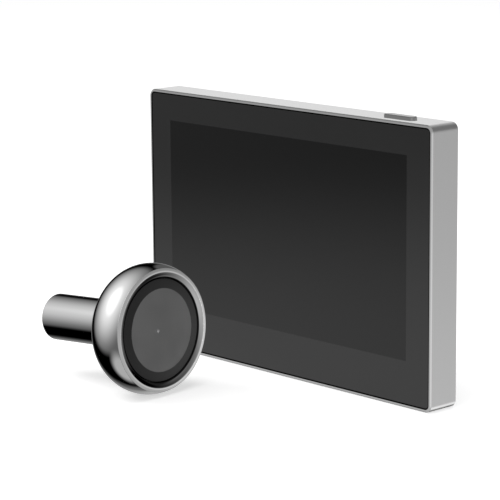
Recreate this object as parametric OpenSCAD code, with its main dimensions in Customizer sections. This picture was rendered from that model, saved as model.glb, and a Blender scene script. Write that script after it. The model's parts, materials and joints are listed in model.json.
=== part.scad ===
// Peephole door camera in two units: an indoor monitor, and an outdoor camera on a hollow tube.
// X runs along the monitor's width, Y from its screen to its back, and Z up.
// The origin is the middle of the monitor's bottom face. All sizes are in millimetres.

/* [Monitor frame] */
// Width of the monitor
monitor_w = 179; // [175:1:200]
// Height of the monitor
monitor_h = 122; // [119:1:140]
// Depth of the monitor from its rim to its back edge
monitor_d = 16; // [15.4:0.1:22]
// Radius of the outer corners
corner_r = 3.4; // [2.8:0.1:6]
// Wall of the metal frame
frame_wall = 1.8; // [1.5:0.1:2.2]
// Width of the rim in front of the glass edge
rim_w = 1.2; // [0.9:0.1:1.6]
// Polished chamfer on the front edge
front_chamfer = 0.5; // [0.3:0.05:0.8]
// Chamfer on the back edge
back_chamfer = 0.4; // [0.2:0.05:0.8]
// Width of the ledge that carries the glass, inside the wall
ledge_w = 2.6; // [2:0.1:3.4]
// Thickness of that ledge
ledge_t = 1.2; // [0.8:0.1:1.6]

/* [Display] */
// Black border left and right of the lit area
border_side = 14.4; // [12:0.1:20]
// Black border above the lit area
border_top = 13.7; // [13.2:0.1:20]
// Black border below the lit area
border_base = 20.3; // [16:0.1:30]
// Thickness of the cover glass
glass_t = 1.1; // [0.7:0.1:1.6]
// How far the glass lies behind the rim
glass_inset = 0.2; // [0.1:0.05:0.5]
// Gap between the glass and the rim
glass_gap = 0.35; // [0.2:0.05:0.6]
// Chamfer round the front of the glass
glass_chamfer = 0.15; // [0.1:0.05:0.4]
// Thickness of the tape under the glass
tape_t = 0.3; // [0.2:0.05:0.6]
// Thickness of the liquid crystal panel
panel_t = 1.6; // [1.2:0.1:2]
// Edge of the panel beyond the lit area, at the sides and top
panel_edge = 3.4; // [2:0.1:3.8]
// Edge of the panel below the lit area
panel_foot = 6; // [4:0.1:10]
// Thickness of the backlight tray
backlight_t = 2.2; // [1.8:0.1:3]
// Thickness of the middle plate behind the display
plate_t = 1; // [0.8:0.1:1.5]
// Gap round the edge of the middle plate
plate_gap = 0.3; // [0.2:0.05:0.6]

/* [Rear cover] */
// Thickness of the rear cover
cover_t = 1.8; // [1.5:0.1:2.5]
// How far the cover lies inside the back edge
cover_inset = 0.2; // [0.1:0.05:0.5]
// Gap round the edge of the cover
cover_gap = 0.15; // [0.1:0.05:0.4]
// Thickness of the skirt inside the cover's edge
skirt_t = 1; // [0.8:0.1:1.2]
// Depth of that skirt
skirt_d = 1.6; // [1:0.1:2.5]
// Width of the recess for the door bracket
bracket_w = 76; // [64:1:79]
// Height of the recess for the door bracket
bracket_h = 56; // [46:1:60]
// Depth of the recess for the door bracket
bracket_d = 2.6; // [1.5:0.1:3]
// Distance from the top of the monitor down to the recess
bracket_drop = 30; // [26:1:36]
// Corner radius of the recess
bracket_r = 4; // [2:0.5:8]
// Wall and floor thickness of the recess
bracket_wall = 1.4; // [1:0.1:1.8]
// Length of a hook slot
hook_l = 9; // [6:0.5:12]
// Height of a hook slot
hook_h = 3.4; // [2.5:0.1:3.8]
// Distance between the hook slots along the width
hook_pitch_x = 52; // [40:1:58]
// Distance between the hook slots along the height
hook_pitch_z = 40; // [34:1:42]
// Width of the cable window in the recess
cable_window_w = 24; // [20:1:30]
// Height of the cable window
cable_window_h = 7; // [5:0.5:8]
// Distance from the top of the recess down to the cable window's middle
cable_window_drop = 18; // [15:0.5:22]
// Inset of the cover screws from the outer edges
post_inset = 5.9; // [5.6:0.1:6.4]
// Radius of the posts that take the cover screws
post_r = 2.6; // [2.2:0.1:2.8]
// Number of sound holes in one row
grille_columns = 8; // [4:1:9]
// Number of rows of sound holes
grille_rows = 4; // [2:1:5]
// Distance between sound holes
grille_pitch = 3; // [2.4:0.1:3.2]
// Radius of a sound hole
grille_r = 0.75; // [0.5:0.05:1]

/* [Power button] */
// Length of the button
button_l = 17.4; // [12:0.2:20]
// Width of the button
button_w = 4.4; // [3.4:0.1:5]
// How far the button stands above the frame
button_rise = 1.7; // [1.2:0.1:2.2]
// How far the button travels
button_travel = 0.6; // [0.3:0.05:0.8]
// Distance from the monitor's right side to the middle of the button
button_inset = 23.9; // [21.4:0.5:40]
// Distance from the rim back to the middle of the button
button_depth = 6.1; // [5.8:0.1:7]
// Gap between the button and its slot
button_gap = 0.15; // [0.1:0.05:0.3]
// Thickness of the flange that holds the button in
flange_t = 1.2; // [0.8:0.1:1.4]
// How far the flange reaches past the button
flange_reach = 0.8; // [0.5:0.1:0.9]
// Height of the switch body under the button
switch_h = 2.4; // [2.2:0.1:2.8]
// Radius of the switch plunger
plunger_r = 1.4; // [1:0.1:1.8]

/* [Electronics] */
// Thickness of the circuit boards
board_t = 1.2; // [0.8:0.1:1.6]
// Gap between the middle plate and the main board
board_gap = 1.6; // [1.3:0.1:2]
// Gap between the main board and the battery
board_battery_gap = 11.2; // [8:0.1:14]
// Height of the main board
board_h = 44; // [40:1:46]
// Gap between the main board and the frame's left wall
board_side_gap = 1; // [0.5:0.1:2]
// Distance from the top of the monitor down to the main board
board_drop = 11; // [9.5:0.5:14]
// Gap between the battery and the recess for the bracket
battery_side_gap = 3.1; // [1:0.1:8]
// Distance from the top of the monitor down to the battery
battery_drop = 18; // [16:0.5:30]
// Height of the battery's lower edge above the bottom
battery_base = 38; // [36.5:0.5:40]
// Distance from the monitor's right side to the battery
battery_inset = 7; // [6.6:0.1:8]
// Width of the speaker box
speaker_w = 32; // [28:1:34]
// Height of the speaker box
speaker_h = 20; // [18:1:22]
// Height of the speaker's lower edge above the bottom
speaker_base = 14; // [11:1:16]
// Distance from the monitor's right side to the speaker
speaker_inset = 13; // [10:0.5:20]
// Width of the charging port
port_w = 7.5; // [7:0.1:9]
// Height of the charging port
port_h = 2.6; // [2.4:0.1:3.2]
// Wall of the charging port
port_wall = 0.35; // [0.25:0.05:0.5]
// Radius of the microphone
microphone_r = 2; // [1.5:0.1:2.5]
// Distance from the monitor's left side to the microphone
microphone_inset = 40; // [20:1:70]

/* [Camera head] */
// Radius of the head at its widest
head_r = 28.7; // [28:0.1:32]
// Radius of the round side of the head
head_round = 16.8; // [16.4:0.1:18]
// Distance from the bezel's crest back to the widest circle
belly_drop = 7.7; // [7:0.1:9]
// Radius of the head's flat back
back_r = 21.3; // [20.6:0.1:22]
// Wall of the head shell
head_wall = 2.2; // [1.6:0.1:2.4]
// Width of the bezel ring
bezel_w = 3.95; // [3.6:0.05:4.4]
// Thickness of the window
window_t = 1.8; // [1.4:0.1:2]
// Radius of the window's dome
window_dome_r = 170; // [120:5:400]
// How far the window's edge lies behind the bezel's crest
window_drop = 1.1; // [0.8:0.1:1.6]
// Gap between the window and the bezel
window_gap = 0.3; // [0.2:0.05:0.5]
// Thickness of the seal under the window
window_seal_t = 0.6; // [0.4:0.1:0.8]
// Width of the seal under the window
window_seal_w = 2.2; // [1.6:0.1:2.6]
// Radial width of the bezel's inner bevel
bevel_w = 2.2; // [1.6:0.1:2.4]
// Depth of the bezel's inner bevel
bevel_d = 0.8; // [0.6:0.1:1.4]
// Width of the bezel's flat crest
crest_w = 0.3; // [0.2:0.05:0.5]
// Drop of the bezel's outer slope
slope_d = 0.2; // [0.1:0.05:0.6]
// Height of the bezel's outer edge
bezel_edge = 0.5; // [0.3:0.1:0.8]
// Step from the head shell down to the bezel
bezel_step = 0.1; // [0.1:0.05:0.4]

/* [Camera tube] */
// Outer radius of the tube that goes through the door
tube_r = 10.4; // [9.5:0.1:11]
// Wall of the tube
tube_wall = 1.6; // [1.2:0.1:2.2]
// Distance from the bezel's crest to the end of the tube
tube_reach = 66.4; // [50:0.2:110]
// Chamfer on the end of the tube
tube_chamfer = 0.5; // [0.2:0.1:0.8]
// Thickness of the seal against the door
door_seal_t = 1.2; // [0.8:0.1:2]
// Thickness of the plate that closes the head
back_plate_t = 2; // [1.6:0.1:2.4]
// Length of the collar that holds the tube
collar_l = 2; // [1.2:0.1:2.4]
// Length of the rubber bush in the tube
bush_l = 3; // [2:0.5:4]

/* [Camera optics] */
// How far the lens hood lies behind the bezel's crest
hood_drop = 4.4; // [4:0.1:4.8]
// Thickness of the lens hood
hood_t = 1; // [0.8:0.1:1.3]
// Gap between the hood and the lamp board
lamp_gap = 2; // [1.9:0.1:2.3]
// Number of infrared lamps
lamp_count = 6; // [3:3:6]
// Gap between the sensor's socket and the tube
socket_gap = 1.2; // [1:0.1:1.8]
// Distance from the hood's edge in to the stack screws
stack_inset = 4; // [3.7:0.1:4.3]
// Distance from the stack screws in to the lens barrel's flange
lens_gap = 6.2; // [5.8:0.1:7]
// Width of that flange round the threaded body
lens_flange_w = 2; // [1.6:0.1:2.3]
// Wall of the barrel round the front lens
front_lens_wall = 0.6; // [0.4:0.1:1]
// Height of the front lens's bulge
front_lens_rise = 2.25; // [1.6:0.05:2.6]
// Wall of the barrel round the rear lens
rear_lens_wall = 2; // [1.6:0.1:2.4]

/* [Camera pose] */
// Place of the head's widest circle along the monitor's width
camera_x = -20.1; // [-60:0.1:40]
// Distance of the camera's axis in front of the monitor's middle
camera_front = 68.5; // [50:0.1:120]
// Turn of the camera's axis away from the monitor's width
camera_turn = 4.7; // [-15:0.1:15]
// Upward tilt of the camera's axis
camera_tilt = 3.2; // [0:0.1:10]

/* [Hidden] */
$fn = 72;
fine_fn = 144;

// Small fits and cuts
cut = 1;
fit_gap = 0.05;
loose_gap = 0.3;
least_r = 0.3;

// Depths behind the rim, from the screen to the back
tape_y = glass_inset + glass_t;
ledge_y = tape_y + tape_t;
ledge_back_y = ledge_y + ledge_t;
backlight_y = tape_y + panel_t;
plate_y = backlight_y + backlight_t;
plate_back_y = plate_y + plate_t;
board_y = plate_back_y + board_gap;
board_back_y = board_y + board_t;
cover_back_y = monitor_d - cover_inset;
cover_y = cover_back_y - cover_t;
bracket_floor_y = cover_back_y - bracket_d;
bracket_inner_y = bracket_floor_y - bracket_wall;

// Outlines of the monitor
cavity_w = monitor_w - 2 * frame_wall;
cavity_h = monitor_h - 2 * frame_wall;
cavity_r = corner_r - frame_wall;
opening_w = monitor_w - 2 * rim_w;
opening_h = monitor_h - 2 * rim_w;
opening_r = corner_r - rim_w;
ledge_opening_w = cavity_w - 2 * ledge_w;
ledge_opening_h = cavity_h - 2 * ledge_w;
glass_w = opening_w - 2 * glass_gap;
glass_h = opening_h - 2 * glass_gap;
glass_r = opening_r - glass_gap;
panel_w = monitor_w - 2 * border_side + 2 * panel_edge;
panel_base = border_base - panel_foot;
panel_top = monitor_h - border_top + panel_edge;
panel_r = 1;

// Screws with a pan head and a cross recess
screw_r = 0.8;
screw_hole_r = screw_r + fit_gap;
screw_pass_r = 1.1;
screw_head_r = 1.8;
screw_head_h = 1.1;
recess_l = 2;
recess_w = 0.5;
recess_d = 0.5;
sink_gap = 0.2;

// Plate screws in bosses on the frame's side walls
boss_r = 2.4;
boss_inset = 20.5;
boss_x = cavity_w / 2 - boss_r;
boss_heights = [boss_inset, monitor_h / 2, monitor_h - boss_inset];
plate_screw_l = 2;

// Cover screws in posts on the middle plate
post_x = monitor_w / 2 - post_inset;
post_spots = [for (x = [-post_x, 0, post_x], z = [post_inset, monitor_h - post_inset]) [x, z]];
collar_d = 1.2;
collar_rim = 0.6;
collar_r = post_r + collar_rim;
collar_y = cover_y - collar_d;
cover_head_y = cover_back_y - screw_head_h - sink_gap;
cover_screw_l = 4.5;
post_hole_d = 5;

// Battery
battery_left = bracket_w / 2 + bracket_wall + battery_side_gap;
battery_w = monitor_w / 2 - battery_inset - battery_left;
battery_h = monitor_h - battery_drop - battery_base;
battery_x = battery_left + battery_w / 2;
battery_z = battery_base + battery_h / 2;
battery_edge_r = 2;
battery_tape_t = 0.3;
battery_tape_margin = 5;
battery_y = plate_back_y + battery_tape_t;
battery_t = cover_y - loose_gap - battery_y;

// Main board
board_left = -cavity_w / 2 + board_side_gap;
board_w = battery_left - board_battery_gap - board_left;
board_top = monitor_h - board_drop;
board_x = board_left + board_w / 2;
board_z = board_top - board_h / 2;
board_r = 1.5;
board_hole_inset = 5.5;
standoff_r = 2.4;
board_spots = [for (x = [-1, 1], z = [-1, 1])
  [board_x + x * (board_w / 2 - board_hole_inset), board_z + z * (board_h / 2 - board_hole_inset)]];
board_screw_l = board_t + board_gap - loose_gap;
board_screw_head_h = 0.9;

// Places on the main board, as shares of its width and height from the upper left corner
function on_board(across, down) = [board_left + across * board_w, board_top - down * board_h];
bracket_z = monitor_h - bracket_drop - bracket_h / 2;
cable_z = monitor_h - bracket_drop - cable_window_drop;
port_z = board_z;
port_l = 5.6;
port_mouth_x = -monitor_w / 2 + frame_wall / 2;
port_gap = 0.4;
port_tongue_t = 0.7;
port_flare = 0.5;
shield_size = [28, 14, 1.5];
shield_spot = on_board(0.5, 0.21);
shield_wall = 0.3;
wireless_size = [15, 12, 1.6];
wireless_spot = on_board(0.24, 0.3);
memory_size = [11, 8, 0.9];
memory_spots = [for (across = [0.71, 0.83]) on_board(across, 0.24)];
cable_socket_size = [20, 4.4, 1.3];
cable_mouth = [16, 2.4, 0.5];
battery_socket_size = [7, 4, 1.5];
battery_mouth = [5.4, 2.4, 0.8];
mouth_lip = 0.4;
battery_socket_spot = on_board(0.94, 0.3);

// Reset switch, pressed with a pin through the rear cover
reset_spot = on_board(0.2, 0.73);
reset_size = [4, 4, 1.8];
reset_plunger_r = 0.8;
reset_rise = 0.9;
reset_travel = 0.3;
reset_well = 0.9;
reset_hole_r = 0.9;
reset_guide_r = 2;
reset_guide_gap = 0.6;

// Speaker on the middle plate
speaker_x = monitor_w / 2 - speaker_inset - speaker_w / 2;
speaker_z = speaker_base + speaker_h / 2;
speaker_seal_t = 0.5;
speaker_seal_w = 1.6;
speaker_y = plate_back_y;
speaker_d = cover_y - speaker_seal_t - speaker_y;
speaker_r = 2;
speaker_cone_rim = 1;
speaker_cone_r = speaker_h / 2 - speaker_seal_w - speaker_cone_rim;
speaker_cone_d = 1.2;

// Microphone in a rubber boot on the frame's lower wall
microphone_x = microphone_inset - monitor_w / 2;
microphone_h = 1.6;
boot_wall = 0.8;
boot_r = microphone_r + boot_wall;
microphone_y = plate_back_y + loose_gap + boot_r;
boot_floor = 0.8;
boot_lip = 0.6;
sound_hole_r = 0.6;

// Power button, its switch and the small board under it
button_x = monitor_w / 2 - button_inset;
button_stop_gap = 0.1;
button_chamfer = 0.3;
flange_top = monitor_h - frame_wall - button_stop_gap;
flange_base = flange_top - flange_t;
stem_l = 1.7;
stem_r = 1.6;
plunger_top = flange_base - stem_l;
plunger_rise = 1;
switch_top = plunger_top - plunger_rise;
switch_base = switch_top - switch_h;
switch_size = [6, 5];
plunger_in = 1.2;
travel_gap = 0.1;
switch_well = plunger_in + button_travel + travel_gap;
key_post_r = 1.9;
key_post_back = 2.4;
key_edge = 0.2;
key_board_t = 1;
key_board_d = 7.6;
key_post_x = button_l / 2 + flange_reach + loose_gap + key_post_r;
key_post_y = button_depth + key_post_back;
key_board_w = 2 * (key_post_x + key_post_r + key_edge);
key_board_y = button_depth - switch_size[1] / 2;
key_board_base = switch_base - key_board_t;
key_head_base = key_board_base - board_screw_head_h;
key_thread_l = 2.6;
key_screw_l = key_board_t + key_thread_l;
notch_gap = 0.6;

// Camera head
belly_r = head_r - head_round;
function head_side(drop) = belly_r + sqrt(pow(head_round, 2) - pow(belly_drop - drop, 2));
head_depth = belly_drop + sqrt(pow(head_round, 2) - pow(back_r - belly_r, 2));
shell_front = slope_d + bezel_edge;
bezel_r = head_side(shell_front) - bezel_step;
bezel_bore_r = bezel_r - bezel_w;
window_r = bezel_bore_r - window_gap;
spigot_wall = 2;
spigot_r = bezel_bore_r + spigot_wall;
seat_drop = window_drop + window_t + window_seal_t;
seat_t = 1.5;
seat_r = window_r - window_seal_w - 2 * fit_gap;
window_clear_r = seat_r - 2 * fit_gap;
window_centre = -window_drop - sqrt(pow(window_dome_r, 2) - pow(window_r, 2));
back_wall = 2.7;
plate_bore_r = back_r - back_wall;
camera_z = belly_r * cos(camera_tilt) + head_round;

// Camera stack, from the hood back to the plate that closes the head
sensor_socket_size = [10, 3.6, 1.2];
back_plate_drop = head_depth - back_plate_t;
tube_drop = back_plate_drop - collar_l;
pillar_drop = tube_drop - socket_gap - sensor_socket_size[2];
sensor_board_drop = pillar_drop - board_t;
hood_gap = 0.4;
hood_r = min(plate_bore_r, seat_r) - hood_gap;
stack_r = hood_r - stack_inset;
lens_flange_r = stack_r - lens_gap;
lens_body_r = lens_flange_r - lens_flange_w;
front_lens_r = lens_body_r - front_lens_wall;
rear_lens_r = lens_body_r - rear_lens_wall;
hood_hole_r = lens_flange_r + loose_gap;
lamp_board_drop = hood_drop + hood_t + lamp_gap;
lamp_board_t = 1;
lamp_board_inset = 0.6;
lamp_board_r = hood_r - lamp_board_inset;
lamp_board_gap = 1;
lamp_board_hole_r = lens_flange_r + lamp_board_gap;
spacer_drop = lamp_board_drop + lamp_board_t;
spacer_l = sensor_board_drop - spacer_drop;
sensor_board_inset = 1;
sensor_board_r = hood_r - sensor_board_inset;
collar_wall = 1.4;
tube_bore_r = tube_r - tube_wall;
tube_step = 0.6;
tube_spigot_r = tube_r - tube_step;
bush_step = 0.7;
bush_r = tube_bore_r - bush_step;
seal_gap = 1.5;
seal_bore_r = tube_r + seal_gap;
seal_margin = 1;
stack_count = 3;
pillar_r = 2.2;
hood_post_r = 2.6;
stack_screw_r = 0.95;
stack_pass_r = stack_screw_r + 2 * fit_gap;
stack_hole_r = stack_screw_r + fit_gap;
stack_sink = 1.2;
stack_end_gap = 0.8;
stack_screw_end = back_plate_drop - stack_end_gap;

// Infrared lamps
lamp_size = [3.4, 2.8, 0.7];
lamp_dome_r = 1.2;
lamp_window_r = 1.9;
lamp_turn = 180 / lamp_count;

// Lens and image sensor
lens_proud = 0.8;
lens_front = hood_drop - lens_proud;
lens_flange_t = 3;
holder_base_t = 1.4;
lens_end = sensor_board_drop - holder_base_t;
lens_seat = 2.2;
lens_step = 2.4;
lens_shelf = 0.8;
lens_waist_r = rear_lens_r - lens_shelf;
retainer_t = 0.7;
retainer_lip = 0.5;
retainer_in_r = front_lens_r - retainer_lip;
retainer_rim = 1;
retainer_out_r = lens_flange_r - retainer_rim;
front_lens_back = lens_front + lens_seat;
front_lens_edge = 0.6;
front_lens_curve = (pow(front_lens_r, 2) + pow(front_lens_rise, 2)) / (2 * front_lens_rise);
front_lens_drop = front_lens_curve - front_lens_rise;
holder_wall = 2;
holder_r = lens_body_r + holder_wall;
holder_base = 2 * holder_r;
holder_l = 3.8;
holder_rim = 3;
sensor_pocket = holder_base - 2 * holder_rim;
sensor_margin = 1;
sensor_size = [sensor_pocket - 2 * sensor_margin, sensor_pocket - 3 * sensor_margin, 0.9];
sensor_mouth = [8, 2.4, 0.5];
bush_slot = [10, 1.8];

// Helpers for the monitor: flat shapes in X and Z, given a depth behind the rim

module layer(depth, t)
  translate([0, depth + t - monitor_d / 2, 0])
    rotate([90, 0, 0])
      linear_extrude(t)
        children();

module peg(spot, r, depth, t)
  layer(depth, t)
    translate(spot)
      circle(r);

module block(spot, size, depth)
  layer(depth, size[2])
    translate(spot)
      square([size[0], size[1]], center = true);

module round_rect(w, h, r) {
  square([w - 2 * r, h], center = true);
  square([w, h - 2 * r], center = true);
  for (x = [-1, 1], y = [-1, 1])
    translate([x * (w / 2 - r), y * (h / 2 - r)])
      circle(r);
}

module face_rect(w, h, r)
  translate([0, monitor_h / 2])
    round_rect(w, h, r);

module pill(l, w) {
  square([l - w, w], center = true);
  for (x = [-1, 1])
    translate([x * (l - w) / 2, 0])
      circle(w / 2);
}

module slab_section(span, d, front, back)
  polygon([
    [-span / 2 + front, 0], [span / 2 - front, 0], [span / 2, front], [span / 2, d - back],
    [span / 2 - back, d], [-span / 2 + back, d], [-span / 2, d - back], [-span / 2, front]
  ]);

// A slab with round corners and chamfered front and back edges
module chamfered_slab(w, h, d, r, front, back)
  translate([0, 0, monitor_h / 2]) {
    for (x = [-1, 1], z = [-1, 1])
      translate([x * (w / 2 - r), 0, z * (h / 2 - r)])
        rotate([-90, 0, 0])
          rotate_extrude()
            polygon([[0, 0], [r - front, 0], [r, front], [r, d - back], [r - back, d], [0, d]]);
    rotate([0, 90, 0])
      linear_extrude(w - 2 * r, center = true)
        slab_section(h, d, front, back);
    linear_extrude(h - 2 * r, center = true)
      slab_section(w, d, front, back);
  }

module cross_recess()
  for (turn = [0, 90])
    rotate(turn)
      square([recess_l, recess_w], center = true);

// A screw that goes in from the back, with its head seated at a depth
module back_screw(spot, seat, length, head_h)
  difference() {
    union() {
      peg(spot, screw_head_r, seat, head_h);
      peg(spot, screw_r, seat - length, length);
    }
    layer(seat + head_h - recess_d, recess_d + cut)
      translate(spot)
        cross_recess();
  }

// Monitor

module frame_band()
  difference() {
    translate([0, -monitor_d / 2, 0])
      chamfered_slab(monitor_w, monitor_h, monitor_d, corner_r, front_chamfer, back_chamfer);
    layer(-cut, cut + ledge_y)
      face_rect(opening_w, opening_h, opening_r);
    layer(ledge_y - cut, ledge_t + 2 * cut)
      face_rect(ledge_opening_w, ledge_opening_h, panel_r);
    layer(ledge_back_y, monitor_d)
      face_rect(cavity_w, cavity_h, cavity_r);
  }

module key_posts(r, base, top)
  for (x = [-1, 1])
    translate([button_x + x * key_post_x, key_post_y - monitor_d / 2, base])
      cylinder(r = r, h = top - base);

module frame()
  color("silver")
    difference() {
      union() {
        frame_band();
        for (x = [-1, 1], z = boss_heights) {
          peg([x * boss_x, z], boss_r, ledge_back_y - ledge_t / 2, plate_y - ledge_back_y + ledge_t / 2);
          layer(ledge_back_y - ledge_t / 2, plate_y - ledge_back_y + ledge_t / 2)
            translate([x * (boss_x + boss_r / 2 + frame_wall / 4), z])
              square([boss_r + frame_wall / 2, 2 * boss_r], center = true);
        }
        key_posts(key_post_r, switch_base, monitor_h - frame_wall / 2);
      }
      for (x = [-1, 1], z = boss_heights)
        peg([x * boss_x, z], screw_hole_r, plate_y - plate_screw_l, plate_screw_l + cut);
      key_posts(screw_hole_r, switch_base - cut, switch_base + key_thread_l + loose_gap);
      // Slot for the power button
      translate([button_x, button_depth - monitor_d / 2, monitor_h - frame_wall - cut])
        linear_extrude(frame_wall + 2 * cut)
          pill(button_l + 2 * button_gap, button_w + 2 * button_gap);
      // Opening for the charging plug
      translate([-monitor_w / 2 - cut, board_back_y + port_h / 2 - monitor_d / 2, port_z])
        rotate([90, 0, 90])
          linear_extrude(frame_wall + 2 * cut)
            rotate(90)
              pill(port_w + 2 * port_gap, port_h + 2 * port_gap);
      // Sound hole of the microphone
      translate([microphone_x, microphone_y - monitor_d / 2, -cut])
        cylinder(r = sound_hole_r, h = frame_wall + 2 * cut);
    }

module cover_glass()
  color("#2c2d2e")
    translate([0, glass_inset - monitor_d / 2, 0])
      chamfered_slab(glass_w, glass_h, glass_t, glass_r, glass_chamfer, glass_chamfer);

module glass_tape()
  color("black")
    layer(tape_y, tape_t)
      difference() {
        face_rect(glass_w - 2 * glass_chamfer, glass_h - 2 * glass_chamfer, glass_r);
        face_rect(ledge_opening_w, ledge_opening_h, panel_r);
      }

module panel_outline()
  translate([0, (panel_base + panel_top) / 2])
    round_rect(panel_w, panel_top - panel_base, panel_r);

module lcd_panel()
  color("#26282b")
    layer(tape_y, panel_t)
      panel_outline();

module backlight_tray()
  color("gainsboro")
    layer(backlight_y, backlight_t)
      panel_outline();

module mid_plate()
  color("darkgray")
    difference() {
      union() {
        layer(plate_y, plate_t)
          difference() {
            face_rect(cavity_w - 2 * plate_gap, cavity_h - 2 * plate_gap, cavity_r);
            // Notch under the power button's board
            translate([button_x - key_board_w / 2 - notch_gap, key_head_base - notch_gap])
              square([key_board_w + 2 * notch_gap, monitor_h]);
            for (x = [-1, 1], z = boss_heights)
              translate([x * boss_x, z])
                circle(screw_pass_r);
          }
        for (spot = post_spots)
          peg(spot, post_r, plate_y + plate_t / 2, collar_y - plate_y - plate_t / 2);
        for (spot = board_spots)
          peg(spot, standoff_r, plate_y + plate_t / 2, board_gap + plate_t / 2);
      }
      for (spot = post_spots)
        peg(spot, screw_hole_r, collar_y - post_hole_d, post_hole_d + cut);
      for (spot = board_spots)
        peg(spot, screw_hole_r, board_y - board_gap, board_gap + cut);
    }

module plate_screws()
  color("dimgray")
    for (x = [-1, 1], z = boss_heights)
      back_screw([x * boss_x, z], plate_back_y, plate_t + plate_screw_l - loose_gap, board_screw_head_h);

module main_board()
  color("darkgreen")
    layer(board_y, board_t)
      difference() {
        translate([board_x, board_z])
          round_rect(board_w, board_h, board_r);
        for (spot = board_spots)
          translate(spot)
            circle(screw_pass_r);
      }

module board_screws()
  color("dimgray")
    for (spot = board_spots)
      back_screw(spot, board_back_y, board_screw_l, board_screw_head_h);

module shield_can()
  color("lightgray")
    difference() {
      block(shield_spot, shield_size, board_back_y);
      block(shield_spot, shield_size - [2, 2, 1] * shield_wall, board_back_y - shield_wall / 2);
    }

module wireless_module()
  color("lightgray")
    block(wireless_spot, wireless_size, board_back_y);

module memory_chips()
  color("#222222")
    for (spot = memory_spots)
      block(spot, memory_size, board_back_y);

module cable_socket()
  color("ivory")
    difference() {
      block([0, cable_z], cable_socket_size, board_back_y);
      // Mouth of the socket, for the flat cable
      block([0, cable_z + cable_socket_size[1] / 2 - mouth_lip], cable_mouth, board_back_y + mouth_lip);
    }

module battery_socket()
  color("ivory")
    difference() {
      block(battery_socket_spot, battery_socket_size, board_back_y);
      block(
        battery_socket_spot - [0, battery_socket_size[1] / 2 - mouth_lip],
        battery_mouth, board_back_y + mouth_lip
      );
    }

module charging_port()
  color("silver")
    translate([port_mouth_x, board_back_y + port_h / 2 - monitor_d / 2, port_z])
      rotate([90, 0, 90])
        rotate(90) {
          linear_extrude(port_l)
            difference() {
              pill(port_w, port_h);
              pill(port_w - 2 * port_wall, port_h - 2 * port_wall);
            }
          // Back wall with the contact tongue
          translate([0, 0, port_l - port_flare])
            linear_extrude(port_flare)
              pill(port_w, port_h);
          translate([0, 0, port_flare])
            linear_extrude(port_l - port_flare)
              square([port_w / 2, port_tongue_t], center = true);
        }

module reset_switch()
  color("#333333")
    difference() {
      block(reset_spot, reset_size, board_back_y);
      peg(reset_spot, reset_plunger_r + fit_gap, board_back_y + reset_well, reset_size[2]);
    }

module reset_plunger()
  color("white")
    peg(
      reset_spot, reset_plunger_r, board_back_y + reset_well + reset_travel + fit_gap,
      reset_size[2] + reset_rise - reset_well - reset_travel - fit_gap
    );

module battery()
  color("lightsteelblue")
    layer(battery_y, battery_t)
      translate([battery_x, battery_z])
        round_rect(battery_w, battery_h, battery_edge_r);

module battery_tape()
  color("white")
    layer(plate_back_y, battery_tape_t)
      translate([battery_x, battery_z])
        square([battery_w - 2 * battery_tape_margin, battery_h - 2 * battery_tape_margin], center = true);

module speaker()
  color("#303030")
    difference() {
      layer(speaker_y, speaker_d)
        translate([speaker_x, speaker_z])
          round_rect(speaker_w, speaker_h, speaker_r);
      peg([speaker_x, speaker_z], speaker_cone_r, speaker_y + speaker_d - speaker_cone_d, speaker_cone_d + cut);
    }

module speaker_gasket()
  color("#1c1c1c")
    layer(speaker_y + speaker_d, speaker_seal_t)
      translate([speaker_x, speaker_z])
        difference() {
          round_rect(speaker_w, speaker_h, speaker_r);
          round_rect(speaker_w - 2 * speaker_seal_w, speaker_h - 2 * speaker_seal_w, speaker_r / 2);
        }

module on_microphone(base)
  translate([microphone_x, microphone_y - monitor_d / 2, frame_wall + base])
    children();

module microphone()
  color("silver")
    on_microphone(boot_floor)
      difference() {
        cylinder(r = microphone_r, h = microphone_h);
        translate([0, 0, -cut])
          cylinder(r = sound_hole_r, h = cut + microphone_h / 2);
      }

module microphone_boot()
  color("#222222")
    difference() {
      on_microphone(0)
        cylinder(r = boot_r, h = boot_floor + microphone_h + boot_lip);
      on_microphone(boot_floor)
        cylinder(r = microphone_r + fit_gap, h = microphone_h);
      on_microphone(boot_floor)
        cylinder(r = microphone_r - boot_lip, h = microphone_h + boot_lip + cut);
      on_microphone(-cut)
        cylinder(r = sound_hole_r, h = boot_floor + 2 * cut);
    }

module switch_board()
  color("darkgreen")
    difference() {
      translate([button_x - key_board_w / 2, key_board_y - monitor_d / 2, key_board_base])
        cube([key_board_w, key_board_d, key_board_t]);
      key_posts(screw_pass_r, key_board_base - cut, switch_base + cut);
    }

module switch_board_screws()
  color("dimgray") {
    key_posts(screw_r, key_board_base, key_board_base + key_screw_l);
    key_posts(screw_head_r, key_head_base, key_board_base);
  }

module on_switch(base)
  translate([button_x, button_depth - monitor_d / 2, base])
    children();

module power_switch()
  color("#333333")
    difference() {
      on_switch(switch_base)
        translate([-switch_size[0] / 2, -switch_size[1] / 2, 0])
          cube([switch_size[0], switch_size[1], switch_h]);
      on_switch(switch_top - switch_well)
        cylinder(r = plunger_r + fit_gap, h = switch_h);
    }

module switch_plunger()
  color("white")
    on_switch(switch_top - plunger_in)
      cylinder(r = plunger_r, h = plunger_in + plunger_rise);

module power_button()
  color("#8a8c8e") {
    on_switch(flange_base)
      linear_extrude(flange_t)
        pill(button_l + 2 * flange_reach, button_w + 2 * flange_reach);
    on_switch(plunger_top)
      cylinder(r = stem_r, h = stem_l + flange_t / 2);
    // Cap with a chamfered top
    on_switch(flange_base + flange_t / 2)
      button_cap(monitor_h + button_rise - flange_base - flange_t / 2);
  }

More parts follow.
